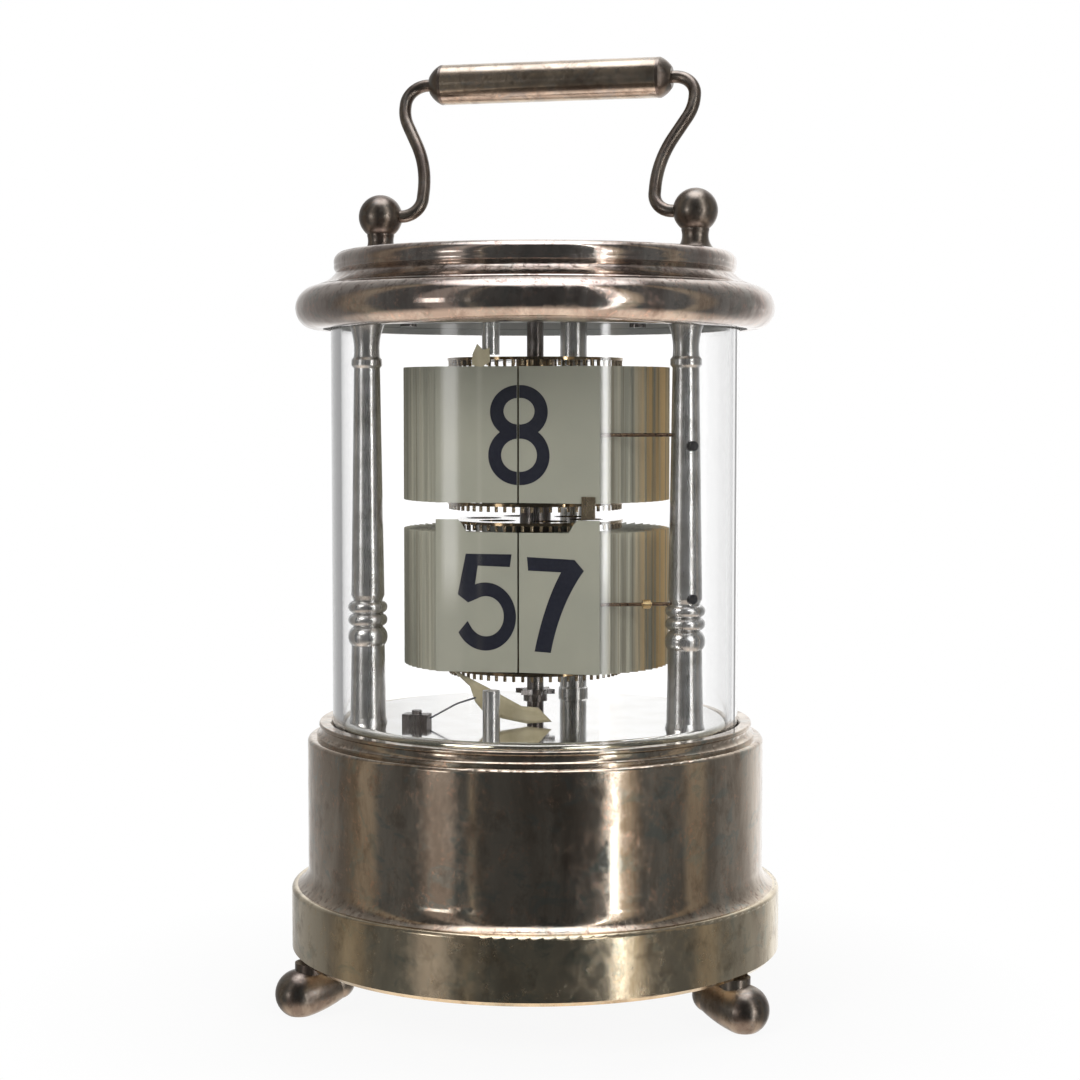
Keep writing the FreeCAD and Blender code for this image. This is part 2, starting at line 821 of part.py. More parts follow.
def turned_pillar(spot):
    """Pillar with a flared head, a thin ring, a long taper and a pair of turned rings."""
    ring_low = plate_top + pillar_rings_share * (upper_low - plate_top)
    ring_half = 0.5 * pillar_ring_pitch
    groove = pillar_radius - pillar_ring_depth
    ring = pillar_radius + pillar_ring_reach
    taper_low = ring_low + pillar_ring_pitch + pillar_collar
    collar = upper_low - pillar_collar_share * (upper_low - plate_top)
    neck = pillar_radius - pillar_neck_drop
    foot_top = ring_low - 2.5 * pillar_ring_pitch
    pillar = turned((0.0, plate_top), [
        (pillar_radius + pillar_foot, plate_top),
        (pillar_radius + 0.5 * pillar_foot, plate_top + pillar_collar),
        (pillar_radius, foot_top),
        ((ring, foot_top + 0.8 * pillar_ring_pitch), (groove, ring_low - pillar_ring_pitch)),
        ((ring, ring_low - ring_half), (groove, ring_low)),
        ((ring, ring_low + ring_half), (groove, ring_low + pillar_ring_pitch)),
        (pillar_radius, taper_low),
        (neck, collar - pillar_collar),
        (neck + pillar_collar_reach, collar - pillar_collar / 2.0),
        (neck + pillar_collar_reach, collar + pillar_collar / 2.0),
        (neck, collar + pillar_collar),
        ((neck + 0.2 * (pillar_flare - neck), upper_low - pillar_flare_height),
         (pillar_flare, upper_low - pillar_foot)),
        (pillar_flare, upper_low),
        (0.0, upper_low)], spot.x, spot.y)
    return drilled_ends(pillar, spot)


def rear_column(spot):
    foot_radius = rear_column_radius + rear_column_foot
    column = turned((0.0, plate_top), [
        (foot_radius, plate_top),
        (foot_radius, plate_top + 4.0 * rear_column_foot),
        (rear_column_radius, plate_top + 5.0 * rear_column_foot),
        (rear_column_radius, upper_low),
        (0.0, upper_low)], spot.x, spot.y)
    return drilled_ends(column, spot)


def drilled_ends(column, spot):
    column = column.cut(rod(frame_screw_radius, plate_low, plate_top + column_hole_depth, spot.x, spot.y))
    return column.cut(rod(frame_screw_radius, upper_low - column_hole_depth, upper_top, spot.x, spot.y))


def frame_screws():
    """Screws of the uprights, sunk in the two plates, and those of the lower and the upper plate."""
    screws = []
    reach = frame_screw_grip - screw_head_height
    for spot in frame_spots().values():
        screws.append(headed_screw(spot.x, spot.y, upper_top - screw_head_height, -1, frame_screw_head,
                                   frame_screw_radius, upper_plate_height + reach))
        screws.append(headed_screw(spot.x, spot.y, plate_low + screw_head_height, 1, frame_screw_head,
                                   frame_screw_radius, lower_plate_height + reach))
    base_length = case_wall + seat_ledge + lower_plate_height - screw_head_height - base_screw_end
    for angle in base_screw_angles:
        spot = polar(base_screw_circle, angle)
        screws.append(headed_screw(spot.x, spot.y, drum_top - case_wall, 1, frame_screw_head,
                                   frame_screw_radius, base_length))
    for angle in plate_screw_angles:
        spot = polar(plate_screw_circle, angle)
        screws.append(headed_screw(spot.x, spot.y, upper_low, 1, frame_screw_head, frame_screw_radius,
                                   upper_plate_height + web_hole_depth - web_screw_end))
    return screws


def finger(leaf_level, bead):
    """Wire that holds back the waiting leaf: it stands in a cross hole of the right pillar."""
    spot = frame_spots()["pillar_right"]
    pivot = polar(pivot_circle, first_waiting)
    tip = pivot + polar(leaf_reach, first_direction)
    along = vec(spot.x - tip.x, spot.y - tip.y).normalize()
    start = vec(tip.x, tip.y, leaf_level) + along * finger_gap
    reach = (vec(spot.x, spot.y, leaf_level) - start).Length
    wire = Part.makeCylinder(finger_radius, reach, start, along)
    if bead:
        middle = start + along * (bead_share * (reach - pillar_radius))
        wire = wire.fuse(Part.makeCylinder(bead_radius, 1.6 * bead_radius, middle, along))
    return wire


# ---------------------------------------------------------------- drums
def leaf_outline(low, height, ear):
    points = [(-leaf_lap, low), (leaf_reach, low)]
    if ear:
        points += [(leaf_reach, low + height + ear_height),
                   (leaf_reach - ear_width + ear_round, low + height + ear_height),
                   (leaf_reach - ear_width, low + height + ear_height - ear_round),
                   (leaf_reach - ear_width - ear_shoulder, low + height)]
    else:
        points.append((leaf_reach, low + height))
    points.append((-leaf_lap, low + height))
    return points


def leaf(angle, direction, low, height, ear=False):
    """One leaf, hinged on the pivot circle at an angle and pointing in a direction."""
    outline = [vec(u, -leaf_thickness / 2.0, z) for u, z in leaf_outline(low, height, ear)]
    face = Part.Face(Part.makePolygon(outline + [outline[0]]))
    blade = face.extrude(vec(0, leaf_thickness, 0))
    blade.rotate(vec(0, 0, 0), Z, direction)
    blade.translate(polar(pivot_circle, angle))
    return blade


def waiting_leaves():
    """Pivot angle and direction of each leaf that trails on the right, the displayed one first."""
    places = []
    for index in range(waiting_count):
        angle = first_waiting + leaf_pitch * index
        places.append((angle, first_direction + waiting_lean * leaf_pitch * index))
    return places


def turned_leaves():
    """The same for the leaves that lead on the left, and those whose tips lie on the rear column."""
    places = []
    for index in range(turned_count):
        angle = first_waiting - leaf_pitch * (index + 1)
        places.append((angle, left_direction - turned_lean * leaf_pitch * index))
    for index in range(leaf_count - waiting_count - turned_count):
        angle = first_waiting + leaf_pitch * (waiting_count + index)
        pivot = polar(pivot_circle, angle)
        tip_x = -(column_tip_clear + column_tip_step * index)
        places.append((angle, degrees(acos((tip_x - pivot.x) / leaf_reach))))
    return places


def leaf_set(name, low, height, ear):
    waiting = waiting_leaves()
    gone = turned_leaves()
    export(name + "_flip_leaf", leaf(*waiting[0], low, height, ear))
    export(name + "_waiting_leaves", *[leaf(a, d, low, height) for a, d in waiting[1:]])
    export(name + "_turned_leaves", leaf(*gone[0], low, height, ear),
           *[leaf(a, d, low, height) for a, d in gone[1:]])


def drum_levels(low, height):
    """Level of the lower disc's top, and of the upper disc's underside."""
    return low - leaf_play, low + height + peg_length + leaf_play


def drum_core(low, height):
    """Hub with a disc at each end. Round windows lighten the discs."""
    lower_face, upper_face = drum_levels(low, height)
    core_low = lower_face - drum_flange
    core_top = upper_face + drum_flange
    core = rod(hub_radius, core_low, core_top)
    core = core.fuse(rod(drum_flange_radius, core_low, lower_face))
    core = core.fuse(rod(drum_flange_radius, upper_face, core_top))
    for index in range(drum_window_count):
        spot = polar((hub_radius + drum_flange_radius) / 2.0, 360.0 / drum_window_count * index)
        core = core.cut(rod(drum_window_radius, core_low, core_top, spot.x, spot.y))
    return core.cut(rod(spindle_radius, core_low, core_top)).removeSplitter()


def drum_pegs(low, height):
    """Leaf pivots: they hang from both discs, one pair for each leaf."""
    lower_face, upper_face = drum_levels(low, height)
    pegs = []
    for index in range(leaf_count):
        spot = polar(pivot_circle, first_waiting + leaf_pitch * index)
        pegs.append(rod(peg_radius, lower_face - drum_flange - peg_length, lower_face - drum_flange,
                        spot.x, spot.y))
        pegs.append(rod(peg_radius, upper_face - peg_length, upper_face, spot.x, spot.y))
    return pegs


minute_faces = drum_levels(minute_low, minute_leaf_height)
hour_faces = drum_levels(hour_low, hour_leaf_height)
hour_pipe_low = hour_faces[0] - drum_flange


def drum_collar():
    return tube(collar_radius, spindle_radius, minute_faces[1] + drum_flange, hour_pipe_low - running_play)


def star_wheel():
    """Small star on the spindle under the minute drum."""
    level = plate_top + star_level
    points = []
    for index in range(2 * star_points):
        spot = polar(star_root_radius if index % 2 else star_radius, 180.0 / star_points * index)
        points.append((spot.x, spot.y))
    star = plate(points, level, level + star_height).fuse(rod(star_boss_radius, level - star_boss, level))
    return star.cut(rod(spindle_radius, plate_top, minute_low)).removeSplitter()


def leaf_post(low, high):
    spot = polar(leaf_post_circle, leaf_post_angle)
    return rod(leaf_post_radius, low, high, spot.x, spot.y)


def tongue():
    """Small tab on the displayed hour leaf, over the minute leaf's ear."""
    box = Part.makeBox(tongue_width, tongue_thickness, tongue_height,
                       vec(leaf_reach - tongue_inset, -leaf_thickness / 2.0 - tongue_thickness,
                           hour_low - tongue_drop))
    box.rotate(vec(0, 0, 0), Z, first_direction)
    box.translate(polar(pivot_circle, first_waiting))
    return box


def spring_block():
    spot = polar(block_circle, block_angle)
    top = plate_top + block_height
    block = Part.makeBox(block_length, block_width, block_height,
                         vec(spot.x - block_length / 2.0, spot.y - block_width / 2.0, plate_top))
    return block.fuse(rod(block_screw_radius, top, top + block_screw_height, spot.x, spot.y))


def trip_spring():
    """Thin wire from the block, rising toward the spindle's star."""
    spot = polar(block_circle, block_angle)
    start = vec(spot.x + block_length / 2.0 + spring_gap, spot.y, plate_top + spring_level)
    return wire_sweep([start, start + vec(*spring_knee), start + vec(*spring_tip)],
                      (spring_bend,), spring_radius)


# ---------------------------------------------------------------- movement
def centres(teeth_a, teeth_b, module):
    return (teeth_a + teeth_b) * module / 2.0


def gear_spot(origin, distance, angle):
    spot = polar(distance, angle)
    return origin[0] + spot.x, origin[1] + spot.y


def shifted(spot, step):
    return spot[0] + step[0], spot[1] + step[1]


barrel_spot = gear_spot((0.0, 0.0), centres(barrel_teeth, barrel_pinion_teeth, barrel_module), barrel_angle)
third_spot = gear_spot((0.0, 0.0), centres(centre_teeth, third_pinion_teeth, going_module), third_angle)
fourth_spot = gear_spot(third_spot, centres(third_teeth, fourth_pinion_teeth, third_module), fourth_angle)
setting_spot = gear_spot((0.0, 0.0), centres(setting_teeth, setting_teeth, setting_module), setting_angle)
motion_distance = centres(cannon_teeth, minute_wheel_teeth, motion_module)
motion_spot = gear_spot((0.0, 0.0), motion_distance, motion_angle)
hour_module = 2.0 * motion_distance / (hour_teeth + minute_pinion_teeth)
balance_spot = shifted(fourth_spot, balance_place)


def back_plate():
    disc = rod(back_plate_radius, back_low, back_top)
    for spot, radius in (((0.0, 0.0), spindle_radius), (barrel_spot, barrel_arbor_radius),
                         (third_spot, arbor_radius), (setting_spot, arbor_radius)):
        disc = disc.cut(rod(radius + running_play, cover_low, plate_low, *spot))
    return disc


def movement_pillars():
    spots = [polar(movement_pillar_circle, angle) for angle in movement_pillar_angles]
    return [rod(movement_pillar_radius, back_top, plate_low, spot.x, spot.y) for spot in spots]


def barrel():
    """Toothed drum that holds the mainspring."""
    low = barrel_wheel_low
    rim_top = low + barrel_wheel
    wheel = gear(barrel_teeth, barrel_module, low, rim_top, 0, *barrel_spot,
                 space_phase(barrel_teeth, barrel_angle + 180.0))
    body = wheel.fuse(rod(barrel_body_radius, rim_top, barrel_top, *barrel_spot))
    body = body.cut(rod(barrel_body_radius - barrel_wall, low + barrel_floor, barrel_top - barrel_wall,
                        *barrel_spot))
    body = body.cut(rod(barrel_arbor_radius + running_play, back_top, plate_low, *barrel_spot))
    return body.removeSplitter()


def coil_radius(index):
    return mainspring_radius - spring_coil_pitch * index


def mainspring():
    """Wound ribbon as a ring of nested coils, clear of the arbor's hub and of the barrel's wall."""
    return [tube(coil_radius(index), coil_radius(index) - spring_coil_wall, mainspring_low, mainspring_top,
                 *barrel_spot)
            for index in range(spring_coils)]


def toothed_ring(tip_radius, root_radius, count, undercut, spot):
    """Points of a saw-toothed outline about a spot."""
    points = []
    for index in range(count):
        for radius, offset in ((tip_radius, 0.0), (root_radius, undercut)):
            corner = polar(radius, 360.0 / count * index + offset)
            points.append((spot[0] + corner.x, spot[1] + corner.y))
    return points


def barrel_arbor():
    arbor = rod(barrel_arbor_radius, cover_low - key_drop + key_floor, plate_low - pinion_overhang,
                *barrel_spot)
    inmost = coil_radius(spring_coils - 1) - spring_coil_wall
    hub = rod(inmost - spring_hub_play, mainspring_low, mainspring_top, *barrel_spot)
    outline = toothed_ring(ratchet_radius, ratchet_root_radius, ratchet_teeth, ratchet_undercut, barrel_spot)
    ratchet = plate(outline, ratchet_low, ratchet_low + ratchet_height)
    return arbor.fuse(hub).fuse(ratchet).removeSplitter()


def click():
    """Pawl beside the ratchet, on its screw under the back plate."""
    base = vec(*shifted(barrel_spot, click_screw))
    tip = vec(*shifted(barrel_spot, click_tip))
    low = ratchet_low + (ratchet_height - click_height)
    lever = Part.makeBox((tip - base).Length, click_width, click_height, vec(0, -click_width / 2.0, low))
    lever.rotate(vec(0, 0, 0), Z, degrees(atan2(tip.y - base.y, tip.x - base.x)))
    lever.translate(base)
    return lever.fuse(rod(click_boss_radius, low, back_low, base.x, base.y)).removeSplitter()


def winding_key():
    """Winged key that stays on the square under the case."""
    x, y = barrel_spot
    low = cover_low - key_drop
    high = cover_low - key_gap
    hub = rod(key_hub_radius, low, high, x, y).cut(rod(barrel_arbor_radius, low + key_floor, cover_low, x, y))
    wings = Part.makeBox(key_span, key_wing, high - low - key_wing_drop,
                         vec(x - key_span / 2.0, y - key_wing / 2.0, low))
    wings = wings.cut(rod((key_hub_radius + barrel_arbor_radius) / 2.0, 0.0, cover_low, x, y))
    return hub.fuse(wings).removeSplitter()


def setting_arbor():
    """Arbor with a wheel that turns the minute drum's arbor."""
    arbor = rod(arbor_radius, cover_low - key_drop + knob_lift + knob_gap, back_top + knob_gap, *setting_spot)
    wheel = gear(setting_teeth, setting_module, setting_low, setting_low + wheel_height, 0, *setting_spot,
                 space_phase(setting_teeth, setting_angle + 180.0))
    return arbor.fuse(wheel).removeSplitter()


def setting_knob():
    low = cover_low - key_drop + knob_lift
    outline = toothed_ring(knob_radius, knob_radius - knob_knurl, knob_knurls, 180.0 / knob_knurls,
                           setting_spot)
    knob = plate(outline, low, cover_low - knob_gap)
    return knob.cut(rod(arbor_radius, low + knob_gap, cover_low, *setting_spot))


def spindle():
    """Arbor through the whole clock, with the pinion that the barrel drives. It carries both drums."""
    shoulder = hour_pipe_low - running_play
    shaft = rod(spindle_radius, back_low - spindle_tail, shoulder)
    shaft = shaft.fuse(rod(spindle_tip_radius, shoulder, cannon_low + cannon_height + spindle_tip_radius))
    pinion = gear(barrel_pinion_teeth, barrel_module, barrel_wheel_low - pinion_lap,
                  barrel_wheel_low + barrel_wheel + pinion_lap, 0, 0.0, 0.0,
                  meshing_phase(barrel_pinion_teeth, barrel_angle), pinion_addendum)
    return shaft.fuse(pinion).removeSplitter()


def centre_wheel():
    return gear(centre_teeth, going_module, centre_wheel_low, centre_wheel_low + wheel_height, spindle_radius,
                0.0, 0.0, space_phase(centre_teeth, third_angle))


def setting_wheel():
    return gear(setting_teeth, setting_module, setting_low, setting_low + wheel_height, spindle_radius,
                0.0, 0.0, meshing_phase(setting_teeth, setting_angle))


def third_wheel():
    x, y = third_spot
    arbor = rod(arbor_radius, back_low, plate_low - arbor_end, x, y)
    pinion = gear(third_pinion_teeth, going_module, centre_wheel_low - pinion_overhang,
                  centre_wheel_low + wheel_height + pinion_overhang, 0, x, y,
                  meshing_phase(third_pinion_teeth, third_angle + 180.0), pinion_addendum)
    wheel = gear(third_teeth, third_module, third_wheel_low, third_wheel_low + wheel_height, 0, x, y,
                 space_phase(third_teeth, fourth_angle))
    return arbor.fuse(pinion).fuse(wheel).removeSplitter()


def fourth_pinion():
    x, y = fourth_spot
    arbor = rod(arbor_radius, back_top + arbor_end, platform_top - platform_roof - running_play, x, y)
    pinion = gear(fourth_pinion_teeth, third_module, third_wheel_low - pinion_overhang,
                  third_wheel_low + wheel_height + pinion_overhang, 0, x, y,
                  meshing_phase(fourth_pinion_teeth, fourth_angle + 180.0), pinion_addendum)
    return arbor.fuse(pinion).removeSplitter()


def platform_case():
    """Closed escapement unit on a leg from the back plate."""
    box = Part.makeBox(platform_width, platform_length, platform_height,
                       vec(*shifted(fourth_spot, platform_corner), platform_low))
    box = box.cut(rod(arbor_radius + running_play, back_top, platform_top - platform_roof, *fourth_spot))
    box = box.cut(rod(staff_radius + running_play, platform_top - staff_hole_depth, plate_low, *balance_spot))
    leg = rod(platform_leg_radius, back_top, platform_low, *shifted(fourth_spot, platform_leg_place))
    return box.fuse(leg).removeSplitter()


def balance_wheel():
    x, y = balance_spot
    low = platform_top + balance_rise
    half = balance_radius - balance_rim / 2.0
    rim = tube(balance_radius, balance_radius - balance_rim, low, low + balance_rim, x, y)
    arm = Part.makeBox(2.0 * half, balance_arm, balance_arm_height,
                       vec(x - half, y - balance_arm / 2.0, low + balance_arm_gap))
    staff_low = platform_top - staff_hole_depth + balance_arm_gap
    staff = rod(staff_radius, staff_low, staff_low + balance_rise + staff_length, x, y)
    return rim.fuse(arm).fuse(staff).removeSplitter()


def hairspring():
    low = platform_top + hairspring_rise
    return [tube(radius, radius - hairspring_wall, low, low + hairspring_height, *balance_spot)
            for radius in hairspring_radii]


def balance_cock():
    """Bridge over the balance, standing on the escapement unit."""
    low = platform_top + cock_rise
    foot_spot = shifted(fourth_spot, cock_foot_place)
    run = vec(balance_spot[0] - foot_spot[0], balance_spot[1] - foot_spot[1])
    bar = Part.makeBox(run.Length + cock_foot_radius, cock_width, cock_height, vec(0, -cock_width / 2.0, low))
    bar.rotate(vec(0, 0, 0), Z, degrees(atan2(run.y, run.x)))
    bar.translate(vec(*foot_spot))
    cock = rod(cock_foot_radius, platform_top, low + cock_height, *foot_spot).fuse(bar)
    return cock.cut(rod(staff_radius + running_play, platform_top, plate_low, *balance_spot)).removeSplitter()


def regulator():
    """Flat lever on the cock that changes the hairspring's working length."""
    level = platform_top + cock_rise + cock_height + regulator_gap
    lever = Part.makeBox(regulator_length, regulator_width, regulator_height,
                         vec(0, -regulator_width / 2.0, level))
    lever.rotate(vec(0, 0, 0), Z, regulator_angle)
    lever.translate(vec(*balance_spot))
    ring = rod(regulator_ring_radius, level, level + regulator_height, *balance_spot)
    return lever.fuse(ring).cut(rod(staff_radius + running_play, platform_top, plate_low,
                                    *balance_spot)).removeSplitter()


# ---------------------------------------------------------------- motion work under the cap
def cannon_pinion():
    return gear(cannon_teeth, motion_module, cannon_low, cannon_low + cannon_height, spindle_tip_radius,
                0.0, 0.0, meshing_phase(cannon_teeth, motion_angle), pinion_addendum)


def minute_wheel():
    x, y = motion_spot
    low = cannon_low + minute_wheel_step
    wheel = gear(minute_wheel_teeth, motion_module, low, low + wheel_height, 0, x, y,
                 space_phase(minute_wheel_teeth, motion_angle + 180.0))
    pinion = gear(minute_pinion_teeth, hour_module, motion_low, low, 0, x, y,
                  meshing_phase(minute_pinion_teeth, motion_angle + 180.0), pinion_addendum)
    return wheel.fuse(pinion).cut(rod(arbor_radius + running_play, upper_top, cap_top, x, y))


def hour_pipe():
    """Pipe that carries the hour drum, with its wheel above the upper plate."""
    wheel_low = motion_low + hour_wheel_rise
    pipe = tube(spindle_radius, spindle_tip_radius + running_play, hour_pipe_low, motion_low + hour_pipe_rise)
    wheel = gear(hour_teeth, hour_module, wheel_low, wheel_low + wheel_height,
                 spindle_tip_radius + running_play, 0.0, 0.0, space_phase(hour_teeth, motion_angle))
    return pipe.fuse(wheel).removeSplitter()


# ---------------------------------------------------------------- write every sub-part
export("base_flange", base_flange())
export("base_drum", base_drum())
export("bottom_cover", bottom_cover())
export("cover_screws", *[headed_screw(polar(cover_screw_circle, a).x, polar(cover_screw_circle, a).y,
                                      cover_low, 1, cover_screw_head, frame_screw_radius,
                                      cover_screw_length, cover_screw_head_height)
                         for a in cover_screw_angles])
export("feet", *[foot(a) for a in foot_angles])
export("foot_screws", *[rod(foot_screw_radius, foot_height - foot_screw_depth + foot_screw_end,
                            foot_height + foot_screw_depth - foot_screw_end,
                            polar(foot_screw_circle, a).x, polar(foot_screw_circle, a).y)
                        for a in foot_angles])
export("seat_ring", seat_ring())
export("glass_cylinder", tube(glass_radius, glass_bore, glass_low, glass_top))
export("cap_gasket", gasket())
export("cap_rim", cap_rim())
export("cap_disc", cap_disc())
export("handle_posts", handle_post(-1), handle_post(1))
export("handle_post_nuts", post_nut(-1), post_nut(1))
export("bail_arms", bail_arm(-1), bail_arm(1))
export("handle_grip", grip())
export("grip_caps", grip_cap(-1), grip_cap(1))

hour_finger = finger((hour_low + hour_top) / 2.0, False)
minute_finger = finger((minute_low + minute_top) / 2.0, True)
export("lower_plate", lower_plate())
export("upper_plate", upper_plate())
export("pillar_left", turned_pillar(frame_spots()["pillar_left"]))
export("pillar_right", turned_pillar(frame_spots()["pillar_right"]).cut(hour_finger).cut(minute_finger))
export("rear_column", rear_column(frame_spots()["rear_column"]))
export("frame_screws", *frame_screws())
export("leaf_fingers", hour_finger, minute_finger)
export("leaf_posts", leaf_post(hour_top + leaf_post_rise, upper_low),
       leaf_post(plate_top, minute_low - leaf_post_clear))
export("spring_block", spring_block())
export("trip_spring", trip_spring())

export("spindle", spindle())
export("minute_drum", drum_core(minute_low, minute_leaf_height))
export("minute_pegs", *drum_pegs(minute_low, minute_leaf_height))
export("hour_drum", drum_core(hour_low, hour_leaf_height))
export("hour_pegs", *drum_pegs(hour_low, hour_leaf_height))
export("hour_pipe", hour_pipe())
export("drum_collar", drum_collar())
export("star_wheel", star_wheel())
leaf_set("minute", minute_low, minute_leaf_height, True)
leaf_set("hour", hour_low, hour_leaf_height, False)
export("hour_tongue", tongue())

export("back_plate", back_plate())
export("movement_pillars", *movement_pillars())
export("barrel", barrel())
export("mainspring", *mainspring())
export("barrel_arbor", barrel_arbor())
export("click", click())
export("winding_key", winding_key())
export("centre_wheel", centre_wheel())
export("third_wheel", third_wheel())
export("fourth_pinion", fourth_pinion())
export("platform_case", platform_case())
export("balance_wheel", balance_wheel())
export("hairspring", *hairspring())
export("balance_cock", balance_cock())
export("regulator", regulator())
export("setting_wheel", setting_wheel())
export("setting_knob", setting_arbor(), setting_knob())
export("cannon_pinion", cannon_pinion())
export("minute_wheel", minute_wheel())
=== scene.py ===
from math import asin, cos, degrees, pi, radians, sin

import bmesh
import bpy
from mathutils import Matrix, Vector


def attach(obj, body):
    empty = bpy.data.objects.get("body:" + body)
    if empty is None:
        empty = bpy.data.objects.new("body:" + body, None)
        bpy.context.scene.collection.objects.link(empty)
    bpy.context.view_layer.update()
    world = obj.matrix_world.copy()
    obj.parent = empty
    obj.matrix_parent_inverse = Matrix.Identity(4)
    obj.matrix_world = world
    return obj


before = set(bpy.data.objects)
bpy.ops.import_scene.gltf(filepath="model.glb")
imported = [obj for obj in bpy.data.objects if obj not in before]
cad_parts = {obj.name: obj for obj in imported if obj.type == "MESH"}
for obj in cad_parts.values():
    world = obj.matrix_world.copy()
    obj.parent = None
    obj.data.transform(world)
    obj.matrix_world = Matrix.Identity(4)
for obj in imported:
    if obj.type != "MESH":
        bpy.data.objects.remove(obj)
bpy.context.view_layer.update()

# Leaf clock in a glass cylinder: finishes for its turned case, frame and movement, the ink of its
# figures, the broken leaf that has slipped down inside, the studio round it and the camera.
# Metres. The origin is on the clock's axis at the floor, +Z is up and -Y shows the time.

MM = 0.001

# ---------------------------------------------------------------- leaves and figures, in millimetres
# Hinge of each leaf that carries figures, and the way it points, in degrees
LEAF_THICKNESS = 0.15
LEFT_PIVOT, LEFT_DIRECTION = (0.0, -14.25), 186.0
RIGHT_PIVOT, RIGHT_DIRECTION = (1.4895, -14.172), -1.5
NEXT_PIVOT, NEXT_DIRECTION = (2.9627, -13.939), 3.12

# Ink, its gap from the leaf, and how far past the hinge a leaf's half of the eight reaches
INK_THICKNESS = 0.02
INK_LIFT = 0.004
SEAM_EDGE = 0.55

# The eight: height of each lobe's centre, half its width and half its height. The shifts move each
# half sideways on its leaf. The minutes' eight stands further right and lower.
EIGHT_UPPER = (98.48, 4.55, 4.3)
EIGHT_LOWER = (91.45, 4.85, 4.77)
EIGHT_UPPER_EYE = (98.58, 2.35, 2.12)
EIGHT_LOWER_EYE = (91.5, 2.75, 2.66)
EIGHT_WAIST = 95.2
EIGHT_EYE_SWEEP = (0, 350)
EIGHT_LEFT_SHIFT, EIGHT_RIGHT_SHIFT = 0.75, -0.35
MINUTE_EIGHT_SHIFT, MINUTE_EIGHT_DROP = 5.4, 27.1

# The five and the seven: points across the leaf from its hinge and up from the floor. A bowl is a
# centre, half a width and half a height, and a sweep its first and last angle in degrees.
FIVE_BAR = [(-7.78, 75.54), (-0.31, 75.49), (-0.6, 73.43), (-5.82, 73.61), (-6.3, 70.55)]
FIVE_BOWL, FIVE_BOWL_SWEEP = ((-4.6, 65.35), 5.0, 5.55), (109, -152)
FIVE_HOOK = [(-7.5, 64.6)]
FIVE_EYE, FIVE_EYE_SWEEP = ((-4.5, 65.4), 2.9, 3.27), (-142, 118)
FIVE_STEM = [(-7.42, 67.6), (-9.12, 68.92)]
SEVEN_BAR = [(0.72, 75.1), (8.62, 74.78), (10.16, 73.03)]
SEVEN_OUTER = ((10.16, 73.03), (6.2, 67.5), (4.7, 59.67))
SEVEN_INNER = ((2.0, 59.82), (3.6, 67.6), (6.39, 72.73))
SEVEN_END = [(0.93, 72.9)]
ELLIPSE_STEPS, BEND_STEPS = 40, 16
WELD_DISTANCE = 1e-7

# ---------------------------------------------------------------- small pieces, in millimetres
# Broken leaf that leans from the turned leaves down to the lower plate
PLATE_TOP = 47.5
SHARD_OUTLINE = [(-11.0, 56.45), (-7.2, 54.7), (-4.0, 53.2), (0.9, 50.6), (3.6, 50.4), (5.7, 48.1),
                 (1.7, 47.75), (-2.4, 48.5), (-5.6, 49.6), (-6.9, 51.1), (-7.7, 53.6)]
SHARD_DEPTH, SHARD_LEAN = -12.6, 0.1
SHARD_BOW, SHARD_BOW_CENTRE = 0.012, -3.0
SHARD_THICKNESS, SHARD_CUTS = 0.2, 3

# Flake of leaf on the upper leaf post
CHIP_OUTLINE = [(-5.5, 105.9), (-5.4, 107.6), (-4.6, 109.3), (-3.6, 108.3), (-2.6, 108.7),
                (-2.5, 106.4), (-3.9, 105.6)]
CHIP_DEPTH = -19.2

# Screws that hold the fingers in the right pillar. The turn is in degrees.
SCREW_SPOTS = [(28.25, -11.6, 93.05), (28.25, -11.6, 68.6)]
SCREW_RADIUS, SCREW_LENGTH, SCREW_SIDES = 0.8, 0.7, 20
SCREW_TURN = (0.0, 90.0, -45.0)

# ---------------------------------------------------------------- tones and roughness
# Nodes whose finish is not that of their slot
OWN_FINISH = {
    "cap_rim": "cap_silver", "cap_disc": "cap_silver", "lower_plate": "silvered_plate",
    "upper_plate": "silvered_plate", "minute_drum": "polished_drum", "hour_drum": "polished_drum",
    "grip_caps": "dark_bronze", "spring_block": "steel", "leaf_fingers": "finger_wire",
}

